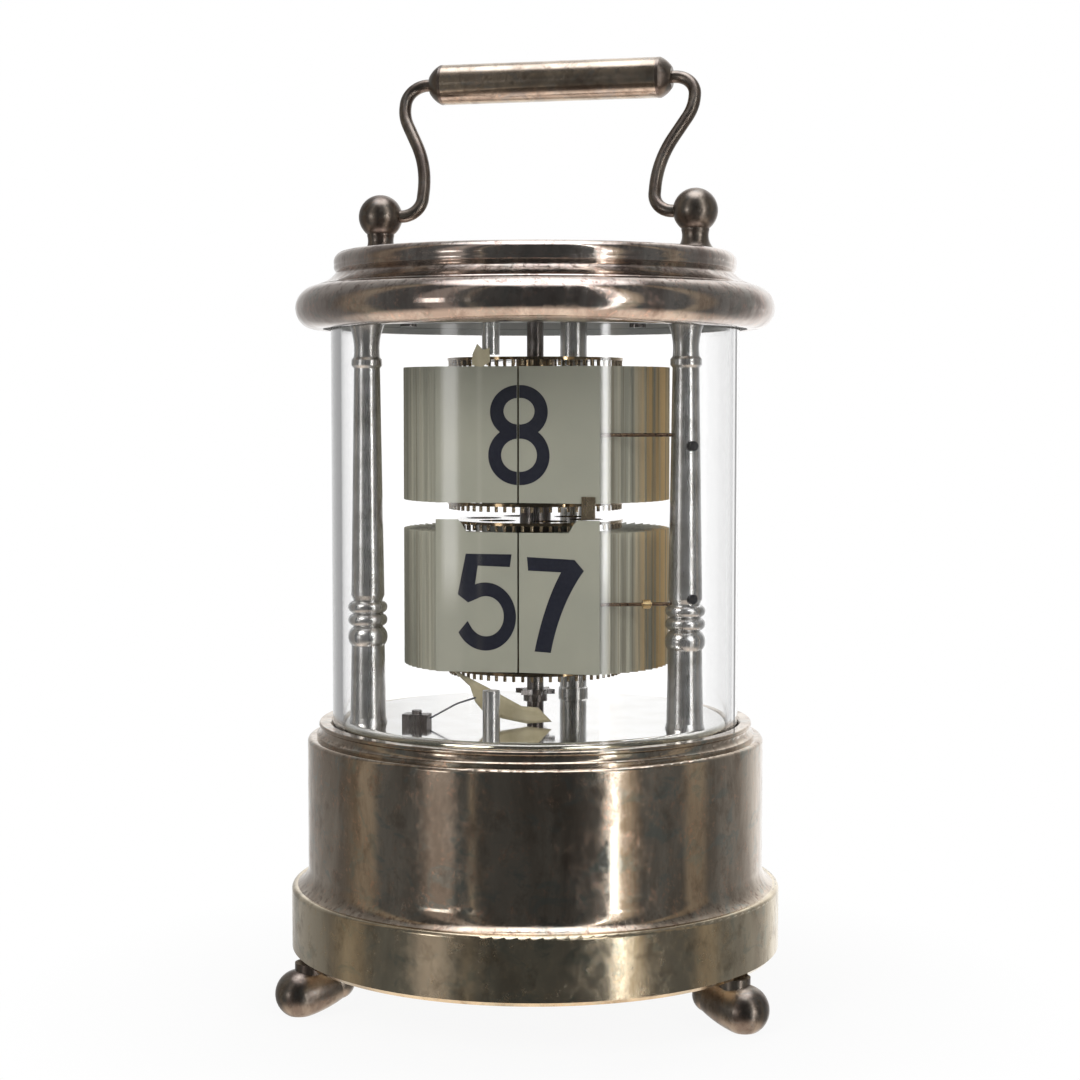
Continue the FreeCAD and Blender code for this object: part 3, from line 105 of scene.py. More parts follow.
# Old plated metals, as tarnished() takes them
TARNISHED = {
    "aged_silver": dict(
        clean=(0.69, 0.59, 0.48), film=(0.48, 0.39, 0.305), deep=(0.27, 0.2, 0.145),
        bloom=(0.42, 0.455, 0.41), copper=(0.82, 0.53, 0.38), spots=(0.18, 0.115, 0.085),
        roughness=(0.05, 0.14)),
    "cap_silver": dict(
        clean=(0.7, 0.62, 0.56), film=(0.49, 0.41, 0.365), deep=(0.27, 0.2, 0.17),
        bloom=(0.46, 0.46, 0.42), copper=(0.82, 0.57, 0.47), spots=(0.17, 0.115, 0.095),
        roughness=(0.05, 0.13)),
    "olive_brass": dict(
        clean=(0.8, 0.69, 0.51), film=(0.62, 0.52, 0.38), deep=(0.28, 0.21, 0.13),
        bloom=(0.5, 0.5, 0.4), copper=(0.8, 0.62, 0.4), roughness=(0.12, 0.17)),
    "dark_bronze": dict(
        clean=(0.36, 0.315, 0.27), film=(0.23, 0.19, 0.165), deep=(0.1, 0.075, 0.06),
        bloom=(0.25, 0.245, 0.23), copper=(0.4, 0.3, 0.24), roughness=(0.28, 0.36),
        patch=4.0, haze=0.05, relief=0.0),
    "grip_plate": dict(
        clean=(0.62, 0.53, 0.43), film=(0.45, 0.38, 0.31), deep=(0.2, 0.14, 0.1),
        bloom=(0.42, 0.41, 0.39), copper=(0.7, 0.52, 0.38), roughness=(0.13, 0.2),
        patch=5.0, haze=0.1, streak=1.0),
}

# Bright drawn metals, as brushed() takes them
BRUSHED = {
    "nickel": dict(clean=(0.9, 0.9, 0.9), film=(0.58, 0.57, 0.55), roughness=(0.22, 0.34)),
    "steel": dict(clean=(0.34, 0.32, 0.31), film=(0.15, 0.125, 0.115), roughness=(0.2, 0.36)),
    "spring_steel": dict(clean=(0.2, 0.2, 0.22), film=(0.12, 0.12, 0.14), roughness=(0.25, 0.4)),
    "brass": dict(clean=(0.46, 0.37, 0.25), film=(0.24, 0.18, 0.11), roughness=(0.2, 0.36),
                  grain=(1.0, 1.0, 0.3)),
}

# Mirror-bright pieces, by the tone of their edges. A face turns into an edge as it goes from level (1)
# to upright (0), between these two.
SILVERED = {"silvered_plate": (0.58, 0.56, 0.46), "polished_drum": (0.3, 0.22, 0.13)}
SILVERED_EDGE = (0.95, 0.5)

# Nearly all of a noise's values lie in the wide span, and most of them in the middle one
WIDE_SPAN, MIDDLE_SPAN = (0.3, 0.7), (0.35, 0.65)

# Leaf packs, in millimetres to the right of the axis: where the faces give way to the edges of other
# leaves on either side, and where the amber leaves begin
FACE_RIGHT_END = (14.4, 15.6)
FACE_LEFT_END = (-12.9, -13.9)
AMBER_BEGINS = (18.3, 20.3)

# Brass bead of the lower finger, in millimetres: where it begins and ends to the right of the axis,
# and the height below which a finger is the lower one
BEAD_BEGINS, BEAD_ENDS = (20.5, 20.6), (22.1, 22.0)
LOWER_FINGER = (80.0, 81.0)

# Gasket: a face turns into felt as it goes from upright and sideways (0) to facing the axis (-1)
FELT_FACES = (-0.3, -0.6)

# ---------------------------------------------------------------- studio
# Camera: place in metres, turn in degrees, lens and sensor in millimetres
CAMERA_PLACE = (0.0905, -0.3589, 0.1002)
CAMERA_TURN = (86.4, 0.0, 14.03)
CAMERA_LENS, CAMERA_SENSOR = 73.6, 36.0
CAMERA_CLIP = (0.01, 10.0)

# Floor: a disc a hair under the feet (the drop is in millimetres, the rest in metres). To the camera
# it glows white. The glow is this share of it up to the first distance of the shadow's reach, where
# the rest takes the clock's shadow, and it is all of it from the second distance on.
FLOOR_RADIUS, FLOOR_SIDES = 0.9, 96
FLOOR_DROP = 0.02
FLOOR_TONES = (0.8, 0.83)
FLOOR_GLOW = 0.92
SHADOW_REACH = (0.045, 0.09)

# The white behind the clock is brighter through the glass, which takes part of it away. What is
# neither mirrored nor seen straight gets a plain grey.
THROUGH_GLASS = 1.25
PLAIN_LEVEL = 0.5

# Lamps: place, size, power and colour. All of them point at one spot.
LAMPS = {
    "key_lamp": ((-0.35, -0.62, 0.55), 0.42, 1.9, (1.0, 0.985, 0.96)),
    "fill_lamp": ((0.5, -0.5, 0.42), 0.36, 0.95, (0.96, 0.98, 1.0)),
    "back_lamp": ((0.1, 0.6, 0.6), 0.5, 1.2, (1.0, 1.0, 1.0)),
}
LAMP_AIM = (0.0, 0.0, 0.07)

# What polished metal and glass mirror, by angle from the camera's side round to the back: grey
# level and tint. Dark in front, a narrow window on the right, a dim one on the left, white behind.
VIEW_TURN = 14.0
ROOM = [
    (-180, 1.15, "white"), (-170, 0.9, "white"), (-156, 0.42, "white"), (-136, 0.28, "white"),
    (-112, 0.17, "white"), (-101, 0.2, "warm"), (-97, 0.29, "warm"), (-88, 0.26, "warm"),
    (-83, 0.11, "cool"), (-58, 0.1, "cool"), (-53, 0.4, "rose"), (-42, 0.38, "rose"),
    (-39, 0.1, "cool"), (-33, 0.09, "cool"), (-31, 0.28, "warm"), (-28.5, 0.075, "cool"),
    (-15, 0.058, "cool"), (18, 0.055, "cool"), (36.5, 0.15, "cool"), (38.3, 5.5, "white"),
    (40.3, 3.5, "white"), (41.5, 0.75, "warm"), (49, 0.42, "warm"), (53, 0.13, "cool"),
    (78, 0.12, "cool"), (82, 0.3, "warm"), (91, 0.26, "warm"), (96, 0.15, "cool"),
    (120, 0.26, "white"), (136, 0.5, "white"), (153, 1.1, "white"), (180, 1.15, "white"),
]
ROOM_PEAK = 5.5
TINTS = {"white": (1.0, 1.0, 1.0), "warm": (1.0, 0.88, 0.72), "rose": (1.0, 0.92, 0.87),
         "cool": (0.96, 1.0, 1.02)}

# Small panes at eye level, seen only by what faces them squarely: angle and extra level. The heights
# (1 is straight up) are those at which they begin, are full, start to fade and end.
PANES = [(-53.5, 0.0), (-52, 2.6), (-44.5, 2.6), (-43, 0.0), (-32, 0.0), (-31, 0.5), (-30, 0.0),
         (37.6, 0.0), (38.3, 6.0), (41.0, 6.0), (41.8, 0.0)]
PANES_PEAK = 6.0
PANES_HEIGHT = (-0.1, -0.07, 0.11, 0.14)

# Bright ceiling over the room and warm ground under it, with the heights (1 is straight up, or
# straight down) from which each shows and at which it is full
CEILING = (2.7, 2.7, 2.82)
CEILING_FROM, CEILING_TO = 0.86, 0.975
GROUND = (1.1, 0.94, 0.8)
GROUND_FROM, GROUND_TO = 0.5, 0.85

# A ray whose count of bounces is above this has bounced at least once
ANY_BOUNCE = 0.5


# ---------------------------------------------------------------- node trees
class Nodes:
    """A node tree, built a node at a time. A socket takes another node's output or a plain value.
    The tree's last node is what the scene takes from it."""

    def __init__(self, tree, last):
        self.tree = tree
        self.tree.nodes.clear()
        self.out = self.tree.nodes.new(last)

    def node(self, kind, sockets=None, **settings):
        made = self.tree.nodes.new(kind)
        for key, value in settings.items():
            setattr(made, key, value)
        for key, value in (sockets or {}).items():
            if isinstance(value, bpy.types.NodeSocket):
                self.tree.links.new(value, made.inputs[key])
            else:
                made.inputs[key].default_value = value
        return made

    def maths(self, operation, first, second=0.0):
        return self.node("ShaderNodeMath", {0: first, 1: second}, operation=operation).outputs[0]

    def opposite(self, share):
        """What is left of one when a share is taken away."""
        return self.maths("SUBTRACT", 1.0, share)

    def vector(self, operation, sockets):
        """A node for sums with vectors. The caller picks its output."""
        return self.node("ShaderNodeVectorMath", sockets, operation=operation)

    def blend(self, share, first, second):
        return self.node("ShaderNodeMix", {0: share, 6: first, 7: second}, data_type="RGBA").outputs[2]

    def between(self, value, low, high, to_low=0.0, to_high=1.0, **settings):
        """Where value stands between low and high, given as a share or between two other values."""
        return self.node("ShaderNodeMapRange", {
            "Value": value, "From Min": low, "From Max": high, "To Min": to_low, "To Max": to_high},
            **settings).outputs[0]

    def smooth(self, value, low, high):
        return self.between(value, low, high, interpolation_type="SMOOTHSTEP")

    def mix(self, share, first, second):
        """The first shader, which gives way to the second by a share."""
        return self.node("ShaderNodeMixShader", {0: share, 1: first.outputs[0], 2: second.outputs[0]})

    def show(self, shader):
        self.tree.links.new(shader.outputs[0], self.out.inputs["Surface"])


class Finish(Nodes):
    """One material's node tree."""

    def __init__(self, name):
        self.material = bpy.data.materials.new(name)
        self.material.use_nodes = True
        super().__init__(self.material.node_tree, "ShaderNodeOutputMaterial")

    def place(self, stretch=(1.0, 1.0, 1.0)):
        """Where a point of the object is, in metres from the origin, times a stretch."""
        where = self.node("ShaderNodeTexCoord").outputs["Object"]
        return self.node("ShaderNodeMapping", {"Vector": where, "Scale": stretch}).outputs[0]

    def axes(self, vector):
        return self.node("ShaderNodeSeparateXYZ", {0: vector}).outputs

    def normal(self):
        return self.node("ShaderNodeNewGeometry").outputs["Normal"]

    def noise(self, size, detail=4.0, stretch=(1.0, 1.0, 1.0), roughness=0.55, distortion=0.0):
        """Noise whose lumps are about size millimetres across."""
        return self.node("ShaderNodeTexNoise", {
            "Vector": self.place(stretch), "Scale": 1.0 / (size * MM), "Detail": detail,
            "Roughness": roughness, "Distortion": distortion}).outputs["Fac"]

    def follow(self, noise, low, high):
        """A value that goes from low to high with a noise."""
        return self.between(noise, *WIDE_SPAN, low, high)

    def clouded(self, noise, first, second, span=MIDDLE_SPAN):
        """A colour that goes from one tone to another as a noise goes through a span."""
        return self.blend(self.between(noise, *span), tone(*first), tone(*second))

    def over(self, colour, top, noise, span, most):
        """A colour with another tone laid over it where a noise is high, up to a share."""
        return self.blend(self.between(noise, *span, 0.0, most), colour, tone(*top))

    def bump(self, height, strength, depth):
        return self.node("ShaderNodeBump", {
            "Height": height, "Strength": strength, "Distance": depth * MM}).outputs[0]

    def surface(self, **sockets):
        named = {key.replace("_", " "): value for key, value in sockets.items()}
        shader = self.node("ShaderNodeBsdfPrincipled", named)
        self.show(shader)
        return shader


def tone(red, green, blue):
    return (red, green, blue, 1.0)


def grey(level):
    return tone(level, level, level)


def metres(values):
    """Values in millimetres, as metres."""
    return [value * MM for value in values]


# ---------------------------------------------------------------- finishes
def tarnished(name, clean, film, deep, bloom, roughness, copper, spots=None, patch=9.0, haze=0.16,
              streak=0.3, relief=0.1):
    """Old plated metal: a clean tone, a brown film in patches, a blue-green bloom and deep stains.
    Copper shows through in fine flecks, dark spots lie where it faces up, and a dull haze covers parts.
    Roughness is given where it is clean and where it is stained, and patch is a size in millimetres."""
    f = Finish(name)
    cloud = f.noise(patch, detail=6.0, stretch=(1.0, 1.0, streak), roughness=0.62, distortion=0.5)
    veil = f.noise(patch * 0.62, detail=5.0, stretch=(1.0, 1.0, 1.4), roughness=0.6, distortion=1.1)
    stain = f.noise(patch * 0.4, detail=7.0, stretch=(1.0, 1.0, 0.8), roughness=0.66, distortion=0.2)
    fine = f.noise(0.62, detail=5.0, roughness=0.72)
    breath = f.noise(2.1, detail=8.0, stretch=(1.0, 1.0, 0.7), roughness=0.68)
    flecks = f.maths("MULTIPLY", fine, breath)
    colour = f.clouded(cloud, clean, film, span=(0.42, 0.58))
    colour = f.over(colour, bloom, veil, span=(0.54, 0.64), most=0.6)
    colour = f.over(colour, copper, flecks, span=(0.29, 0.37), most=0.6)
    colour = f.over(colour, deep, stain, span=(0.52, 0.76), most=0.8)
    if spots:
        lying = f.between(f.axes(f.normal())[2], 0.1, 0.7, 0.04, 0.6)
        specks = f.between(f.noise(1.3, detail=6.0, roughness=0.7), 0.53, 0.62)
        colour = f.blend(f.maths("MULTIPLY", specks, lying), colour, tone(*spots))
    dull = f.between(breath, 0.4, 0.68, 0.0, haze)
    f.surface(Base_Color=colour, Metallic=1.0, Normal=f.bump(stain, strength=relief, depth=0.02),
              Roughness=f.maths("ADD", f.between(stain, 0.42, 0.7, *roughness), dull))
    return f.material


def brushed(name, clean, film, roughness, grain=(1.0, 1.0, 0.04)):
    """Bright metal with fine drawn lines along the piece and a thin uneven film."""
    f = Finish(name)
    lines = f.noise(1.4, detail=5.0, stretch=grain, roughness=0.7)
    colour = f.clouded(f.noise(4.0), clean, film, span=(0.38, 0.66))
    colour = f.over(colour, film, lines, span=(0.48, 0.66), most=0.7)
    f.surface(Base_Color=colour, Metallic=1.0, Roughness=f.follow(lines, *roughness),
              Normal=f.bump(lines, strength=0.25, depth=0.01))
    return f.material


def silvered(name, edge):
    """Mirror-bright flat faces, a little cloudy, with an edge of another tone."""
    f = Finish(name)
    cloud = f.noise(7.0, detail=5.0)
    rim = f.between(f.maths("ABSOLUTE", f.axes(f.normal())[2]), *SILVERED_EDGE)
    colour = f.clouded(cloud, (0.98, 0.975, 0.96), (0.9, 0.89, 0.86), span=(0.4, 0.7))
    f.surface(Base_Color=f.blend(rim, colour, tone(*edge)), Metallic=1.0,
              Roughness=f.follow(cloud, 0.04, 0.1))
    return f.material


def finger_wire():
    """Dark wire, with its bead bare brass."""
    f = Finish("finger_wire")
    across, _, height = f.axes(f.place())
    bead = f.maths("MULTIPLY", f.between(across, *metres(BEAD_BEGINS)), f.between(across, *metres(BEAD_ENDS)))
    lower = f.between(height, *metres(LOWER_FINGER), 1.0, 0.0)
    film = f.noise(0.8)
    dark = f.clouded(film, (0.09, 0.055, 0.035), (0.19, 0.12, 0.07))
    colour = f.blend(f.maths("MULTIPLY", bead, lower), dark, tone(0.72, 0.52, 0.26))
    f.surface(Base_Color=colour, Metallic=1.0, Roughness=f.follow(film, 0.22, 0.4))
    return f.material


def leaf_card():
    """Thin celluloid: grey faces with faint clouding. The packs' edges show leaves of many ages,
    from cream to amber, with painted shade as dark lines in the gaps between them."""
    f = Finish("leaf_card")
    across = f.axes(f.place())[0]
    right = f.between(across, *metres(FACE_RIGHT_END))
    left = f.between(across, *metres(FACE_LEFT_END))
    ages = f.noise(1.5, detail=2.0, stretch=(1.0, 1.0, 0.01), roughness=0.8)
    gaps = f.noise(0.42, detail=1.0, stretch=(1.0, 1.0, 0.004))
    cloud = f.noise(14.0, detail=3.0)
    dust = f.noise(0.6)
    face = f.clouded(cloud, (0.385, 0.38, 0.31), (0.425, 0.415, 0.335))
    pack = f.clouded(ages, (0.5, 0.475, 0.375), (0.36, 0.35, 0.28), span=(0.44, 0.56))
    amber = f.maths("MULTIPLY", f.between(across, *metres(AMBER_BEGINS)), f.between(ages, 0.62, 0.46))
    pack = f.blend(amber, pack, tone(0.66, 0.45, 0.2))
    # Painted shade: dark lines on the packs' edges where the gaps between the leaves lie
    pack = f.over(pack, (0.2, 0.17, 0.12), gaps, span=(0.54, 0.62), most=0.55)
    f.surface(Base_Color=f.blend(f.maths("MAXIMUM", right, left), face, pack),
              Roughness=f.follow(dust, 0.38, 0.5),
              Normal=f.bump(dust, strength=0.1, depth=0.01), Specular_IOR_Level=0.4)
    return f.material


def ink():
    """Blue-black printing ink, a little dusty."""
    f = Finish("figure_ink")
    dust = f.noise(0.5)
    colour = f.clouded(dust, (0.009, 0.010, 0.022), (0.016, 0.017, 0.03), span=(0.35, 0.7))
    f.surface(Base_Color=colour, Roughness=f.follow(dust, 0.4, 0.55), Specular_IOR_Level=0.35)
    return f.material


def old_celluloid():
    """Yellowed celluloid of the broken pieces."""
    f = Finish("old_celluloid")
    cloud = f.noise(3.0, detail=5.0)
    dust = f.noise(0.5)
    f.surface(Base_Color=f.clouded(cloud, (0.60, 0.53, 0.36), (0.47, 0.40, 0.25)),
              Roughness=f.follow(dust, 0.4, 0.55), Normal=f.bump(dust, strength=0.2, depth=0.02))
    return f.material


def blackened():
    """Dark oiled steel of the small screws."""
    f = Finish("blackened_steel")
    dust = f.noise(0.4)
    f.surface(Base_Color=f.clouded(dust, (0.07, 0.07, 0.08), (0.12, 0.11, 0.11)), Metallic=1.0,
              Roughness=f.follow(dust, 0.25, 0.4))
    return f.material


def gasket_ring():
    """Black seal, with white felt where it faces the clock's axis."""
    f = Finish("black_gasket")
    outwards = f.vector("NORMALIZE", {0: f.place((1.0, 1.0, 0.0))}).outputs[0]
    turned_out = f.vector("DOT_PRODUCT", {0: outwards, 1: f.normal()}).outputs["Value"]
    dust = f.noise(0.8, detail=5.0)
    black = f.clouded(dust, (0.012, 0.012, 0.012), (0.03, 0.028, 0.026), span=(0.4, 0.7))
    felt = f.clouded(dust, (0.95, 0.95, 0.94), (0.9, 0.9, 0.88), span=WIDE_SPAN)
    f.surface(Base_Color=f.blend(f.between(turned_out, *FELT_FACES), black, felt),
              Roughness=f.follow(dust, 0.5, 0.7), Normal=f.bump(dust, strength=0.2, depth=0.02))
    return f.material


def clear_glass():
    """Glass that bends what is seen through it and lets the lamps' light pass."""
    f = Finish("clear_glass")
    smear = f.noise(16.0, stretch=(1.0, 1.0, 0.4))
    glass = f.surface(Base_Color=tone(1.0, 1.0, 1.0), IOR=1.46, Transmission_Weight=1.0,
                      Roughness=f.between(smear, 0.5, 0.85, 0.0, 0.012))
    rays = f.node("ShaderNodeLightPath").outputs
    light = f.maths("MAXIMUM", rays["Is Shadow Ray"], rays["Is Diffuse Ray"])
    passing = f.node("ShaderNodeBsdfTransparent", {0: tone(0.97, 0.975, 0.97)})
    f.show(f.mix(light, glass, passing))
    return f.material


def finishes():
    """Every finish of the CAD nodes, by name."""
    made = {name: tarnished(name, **look) for name, look in TARNISHED.items()}
    made.update({name: brushed(name, **look) for name, look in BRUSHED.items()})
    made.update({name: silvered(name, edge) for name, edge in SILVERED.items()})
    made.update({"clear_glass": clear_glass(), "black_gasket": gasket_ring(), "leaf_card": leaf_card(),
                 "finger_wire": finger_wire()})
    return made


def take_off_plain_paint():
    """Note each CAD node's slot, and clear away the plain materials that it came with."""
    slots = {name: thing.data.materials[0].name for name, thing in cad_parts.items()}
    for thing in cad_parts.values():
        thing.data.materials.clear()
    for material in list(bpy.data.materials):
        bpy.data.materials.remove(material)
    return slots


def dress_nodes(made, slots):
    """Give every CAD node the finish of its own slot, or the one that is its alone."""
    for name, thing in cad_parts.items():
        thing.data.materials.append(made[OWN_FINISH.get(name, slots[name])])


# ---------------------------------------------------------------- meshes
def link(thing):
    """Put an object in the scene."""
    bpy.context.scene.collection.objects.link(thing)


def piece(name, mesh, body, material):
    """A finished mesh, in place, that rides on a body."""
    thing = bpy.data.objects.new(name, mesh)
    link(thing)
    mesh.materials.clear()
    mesh.materials.append(material)
    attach(thing, body)


def evaluated_mesh(holder):
    """The mesh that an object comes to once its curve or modifiers are worked out. The object goes."""
    bpy.context.view_layer.update()
    mesh = bpy.data.meshes.new_from_object(holder.evaluated_get(bpy.context.evaluated_depsgraph_get()))
    bpy.data.objects.remove(holder)
    return mesh


def bmesh_to_mesh(work, name):
    """A new mesh with the shape of a bmesh, which goes."""
    mesh = bpy.data.meshes.new(name)
    work.to_mesh(mesh)
    work.free()
    return mesh


def flat_shape(name, outlines):
    """A plate as thick as ink with these outlines, holes among them, in its own X and Y."""
    curve = bpy.data.curves.new(name, "CURVE")
    curve.dimensions = "2D"
    curve.fill_mode = "BOTH"
    curve.extrude = INK_THICKNESS / 2 * MM
    for points in outlines:
        spline = curve.splines.new("POLY")
        spline.points.add(len(points) - 1)
        for point, (x, y) in zip(spline.points, points):
            point.co = (x * MM, y * MM, 0.0, 1.0)
        spline.use_cyclic_u = True
    holder = bpy.data.objects.new(name, curve)
    link(holder)
    return evaluated_mesh(holder)


def cut_mesh(mesh, at, keep_right):
    """Keep the part of the mesh on one side of X = at, and close the cut."""
    work = bmesh.new()
    work.from_mesh(mesh)
    bmesh.ops.remove_doubles(work, verts=work.verts, dist=WELD_DISTANCE)
    everything = work.verts[:] + work.edges[:] + work.faces[:]
    cut = bmesh.ops.bisect_plane(work, geom=everything, plane_co=(at * MM, 0, 0), plane_no=(1, 0, 0),
                                 clear_inner=keep_right, clear_outer=not keep_right)
    rim = [e for e in cut["geom_cut"] if isinstance(e, bmesh.types.BMEdge)]
    bmesh.ops.holes_fill(work, edges=rim)
    bmesh.ops.recalc_face_normals(work, faces=work.faces)
    work.to_mesh(mesh)
    work.free()
    return mesh


# ---------------------------------------------------------------- figures
def ellipse(centre, wide, tall, start, end):
    """Points round an ellipse from one angle to another, in degrees from its right-hand side."""
    angles = [radians(start + (end - start) * i / ELLIPSE_STEPS) for i in range(ELLIPSE_STEPS + 1)]
    return [(centre[0] + wide * cos(a), centre[1] + tall * sin(a)) for a in angles]


def bent(start, control, end):
    """Points on the curve from start to end that control pulls towards itself."""
    shares = [i / BEND_STEPS for i in range(BEND_STEPS + 1)]
    return [tuple((1 - t) ** 2 * a + 2 * t * (1 - t) * c + t * t * b for a, c, b in zip(start, control, end))
            for t in shares]


def waist_angle(lobe):
    """How far round a lobe of the eight, from its side, the waist is reached."""
    level, _, tall = lobe
    return degrees(asin(min(1.0, abs(EIGHT_WAIST - level) / tall)))


def eight(shift, drop=0.0):
    """Outline and two eyes of the figure, moved sideways by shift and down by drop."""
    def lobe(level, wide, tall, start, end):
        return ellipse((shift, level), wide, tall, start, end)
    upper, lower = waist_angle(EIGHT_UPPER), waist_angle(EIGHT_LOWER)
    outline = lobe(*EIGHT_UPPER, 180 + upper, -upper) + lobe(*EIGHT_LOWER, lower, -180 - lower)
    outlines = [outline, lobe(*EIGHT_UPPER_EYE, *EIGHT_EYE_SWEEP), lobe(*EIGHT_LOWER_EYE, *EIGHT_EYE_SWEEP)]
    return [[(x, y - drop) for x, y in points] for points in outlines]


def five():
    """Outline of the figure, from its bar down round the bowl and back up inside."""
    bowl, eye = ellipse(*FIVE_BOWL, *FIVE_BOWL_SWEEP), ellipse(*FIVE_EYE, *FIVE_EYE_SWEEP)
    return [FIVE_BAR + bowl + FIVE_HOOK + eye + FIVE_STEM]


def seven():
    """Outline of the figure, from its bar down the outside of the stem and back up inside."""
    return [SEVEN_BAR + bent(*SEVEN_OUTER)[1:] + bent(*SEVEN_INNER) + SEVEN_END]


def left_half():
    """The half of the hour's eight that is printed on the leaf left of the seam."""
    return cut_mesh(flat_shape("eight", eight(EIGHT_LEFT_SHIFT)), SEAM_EDGE, keep_right=False)


def right_half():
    """The half that is printed on the leaf right of the seam."""
    return cut_mesh(flat_shape("eight", eight(EIGHT_RIGHT_SHIFT)), -SEAM_EDGE, keep_right=True)


def lay_on_leaf(mesh, pivot, direction, mirrored):
    """Move a figure drawn in X and Y onto the face of a leaf that stands at a pivot."""
    angle = radians(direction)
    right = Vector((cos(angle), sin(angle), 0.0)) * (-1 if mirrored else 1)
    up = Vector((0.0, 0.0, 1.0))
    out = right.cross(up)
    lift = (LEAF_THICKNESS / 2 + INK_LIFT + INK_THICKNESS / 2) * MM
    place = Matrix((right, up, out)).transposed().to_4x4()
    place.translation = Vector((*pivot, 0.0)) * MM + out * lift
    mesh.transform(place)
    return mesh


def figures(material):
    """The figures that show, and those that the next leaves bring when they fall: on the backs of the
    falling leaves, which come to lie on the left, and on the leaves behind them."""
    left = (LEFT_PIVOT, LEFT_DIRECTION, True)
    front = (RIGHT_PIVOT, RIGHT_DIRECTION, False)
    back = (RIGHT_PIVOT, RIGHT_DIRECTION, True)
    behind = (NEXT_PIVOT, NEXT_DIRECTION, False)
    for name, mesh, leaf, body in (
            ("figure_8_left", left_half(), left, "case"),
            ("figure_8_right", right_half(), front, "hour_leaf"),
            ("figure_5", flat_shape("five", five()), left, "case"),
            ("figure_7", flat_shape("seven", seven()), front, "minute_leaf"),
            ("next_8_left", left_half(), back, "hour_leaf"),
            ("next_8_right", right_half(), behind, "case"),
            ("next_5", flat_shape("five", five()), back, "minute_leaf"),
            ("next_8", flat_shape("eight", eight(MINUTE_EIGHT_SHIFT, MINUTE_EIGHT_DROP)), behind, "case")):
        piece(name, lay_on_leaf(mesh, *leaf), body, material)


# ---------------------------------------------------------------- small pieces
def shard(material):
    """The broken leaf: a bowed sheet that leans on the leaves above and stands on the plate."""
    work = bmesh.new()
    corners = [work.verts.new((x * MM, 0.0, z * MM)) for x, z in SHARD_OUTLINE]
    work.faces.new(corners)
    bmesh.ops.triangulate(work, faces=work.faces)
    bmesh.ops.subdivide_edges(work, edges=work.edges, cuts=SHARD_CUTS, use_grid_fill=True)
    for v in work.verts:
        across, height = v.co.x / MM - SHARD_BOW_CENTRE, v.co.z / MM - PLATE_TOP
        v.co.y = (SHARD_DEPTH - SHARD_LEAN * height + SHARD_BOW * across ** 2) * MM
    bmesh.ops.recalc_face_normals(work, faces=work.faces)
    bmesh.ops.solidify(work, geom=work.faces[:], thickness=SHARD_THICKNESS * MM)
    bmesh.ops.recalc_face_normals(work, faces=work.faces)
    mesh = bmesh_to_mesh(work, "broken_leaf")
    for polygon in mesh.polygons:
        polygon.use_smooth = True
    piece("broken_leaf", mesh, "case", material)


def chip(material):
    """A flake of old leaf that has caught on the upper leaf post."""
    mesh = flat_shape("post_chip", [CHIP_OUTLINE])
    place = Matrix.Rotation(radians(90.0), 4, "X")
    place.translation = (0.0, CHIP_DEPTH * MM, 0.0)
    mesh.transform(place)
    piece("post_chip", mesh, "case", material)


def screw_tree(material):
    """Geometry Nodes: a round screw end on every point."""
    tree = bpy.data.node_groups.new("screw_ends", "GeometryNodeTree")
    face = tree.interface
    face.new_socket("Geometry", in_out="INPUT", socket_type="NodeSocketGeometry")
    for name, kind in (("Radius", "Float"), ("Length", "Float"), ("Turn", "Vector")):
        face.new_socket(name, in_out="INPUT", socket_type="NodeSocket" + kind)
    face.new_socket("Geometry", in_out="OUTPUT", socket_type="NodeSocketGeometry")
    given = tree.nodes.new("NodeGroupInput").outputs
    spots = tree.nodes.new("GeometryNodeMeshToPoints")
    end = tree.nodes.new("GeometryNodeMeshCylinder")
    end.inputs["Vertices"].default_value = SCREW_SIDES
    placed = tree.nodes.new("GeometryNodeInstanceOnPoints")
    real = tree.nodes.new("GeometryNodeRealizeInstances")
    paint = tree.nodes.new("GeometryNodeSetMaterial")
    paint.inputs["Material"].default_value = material
    out = tree.nodes.new("NodeGroupOutput")
    links = ((given["Geometry"], spots.inputs["Mesh"]), (given["Radius"], end.inputs["Radius"]),
             (given["Length"], end.inputs["Depth"]), (spots.outputs[0], placed.inputs["Points"]),
             (end.outputs["Mesh"], placed.inputs["Instance"]), (given["Turn"], placed.inputs["Rotation"]),
             (placed.outputs[0], real.inputs[0]), (real.outputs[0], paint.inputs["Geometry"]),
             (paint.outputs[0], out.inputs[0]))
    for start, finish in links:
        tree.links.new(start, finish)
    return tree


def screw_ends(material):
    """The two screws in the right pillar that hold the fingers' wires."""
    points = bpy.data.meshes.new("screw_spots")
    points.from_pydata([metres(spot) for spot in SCREW_SPOTS], [], [])
    holder = bpy.data.objects.new("screw_spots", points)
    link(holder)
    nodes = holder.modifiers.new("screws", "NODES")
    nodes.node_group = screw_tree(material)
    wanted = {"Radius": SCREW_RADIUS * MM, "Length": SCREW_LENGTH * MM,
              "Turn": tuple(radians(a) for a in SCREW_TURN)}
    for socket in nodes.node_group.interface.items_tree:
        if socket.name in wanted:
            nodes[socket.identifier] = wanted[socket.name]
    piece("finger_screws", evaluated_mesh(holder), "case", material)


# ---------------------------------------------------------------- studio
def by_angle(w, share, first, last, rows):
    """Colours round the room: the two at its ends, and rows of a degree and a colour."""
    made = w.node("ShaderNodeValToRGB", {0: share})
    stops = made.color_ramp.elements
    stops[0].color, stops[1].color = first, last
    for degree, colour in rows:
        stops.new(degree / 360.0 + 0.5).color = colour
    return made.outputs[0]


def scaled(w, colour, level):
    """A colour times a level, which may be over one."""
    return w.vector("SCALE", {0: colour, "Scale": level}).outputs[0]


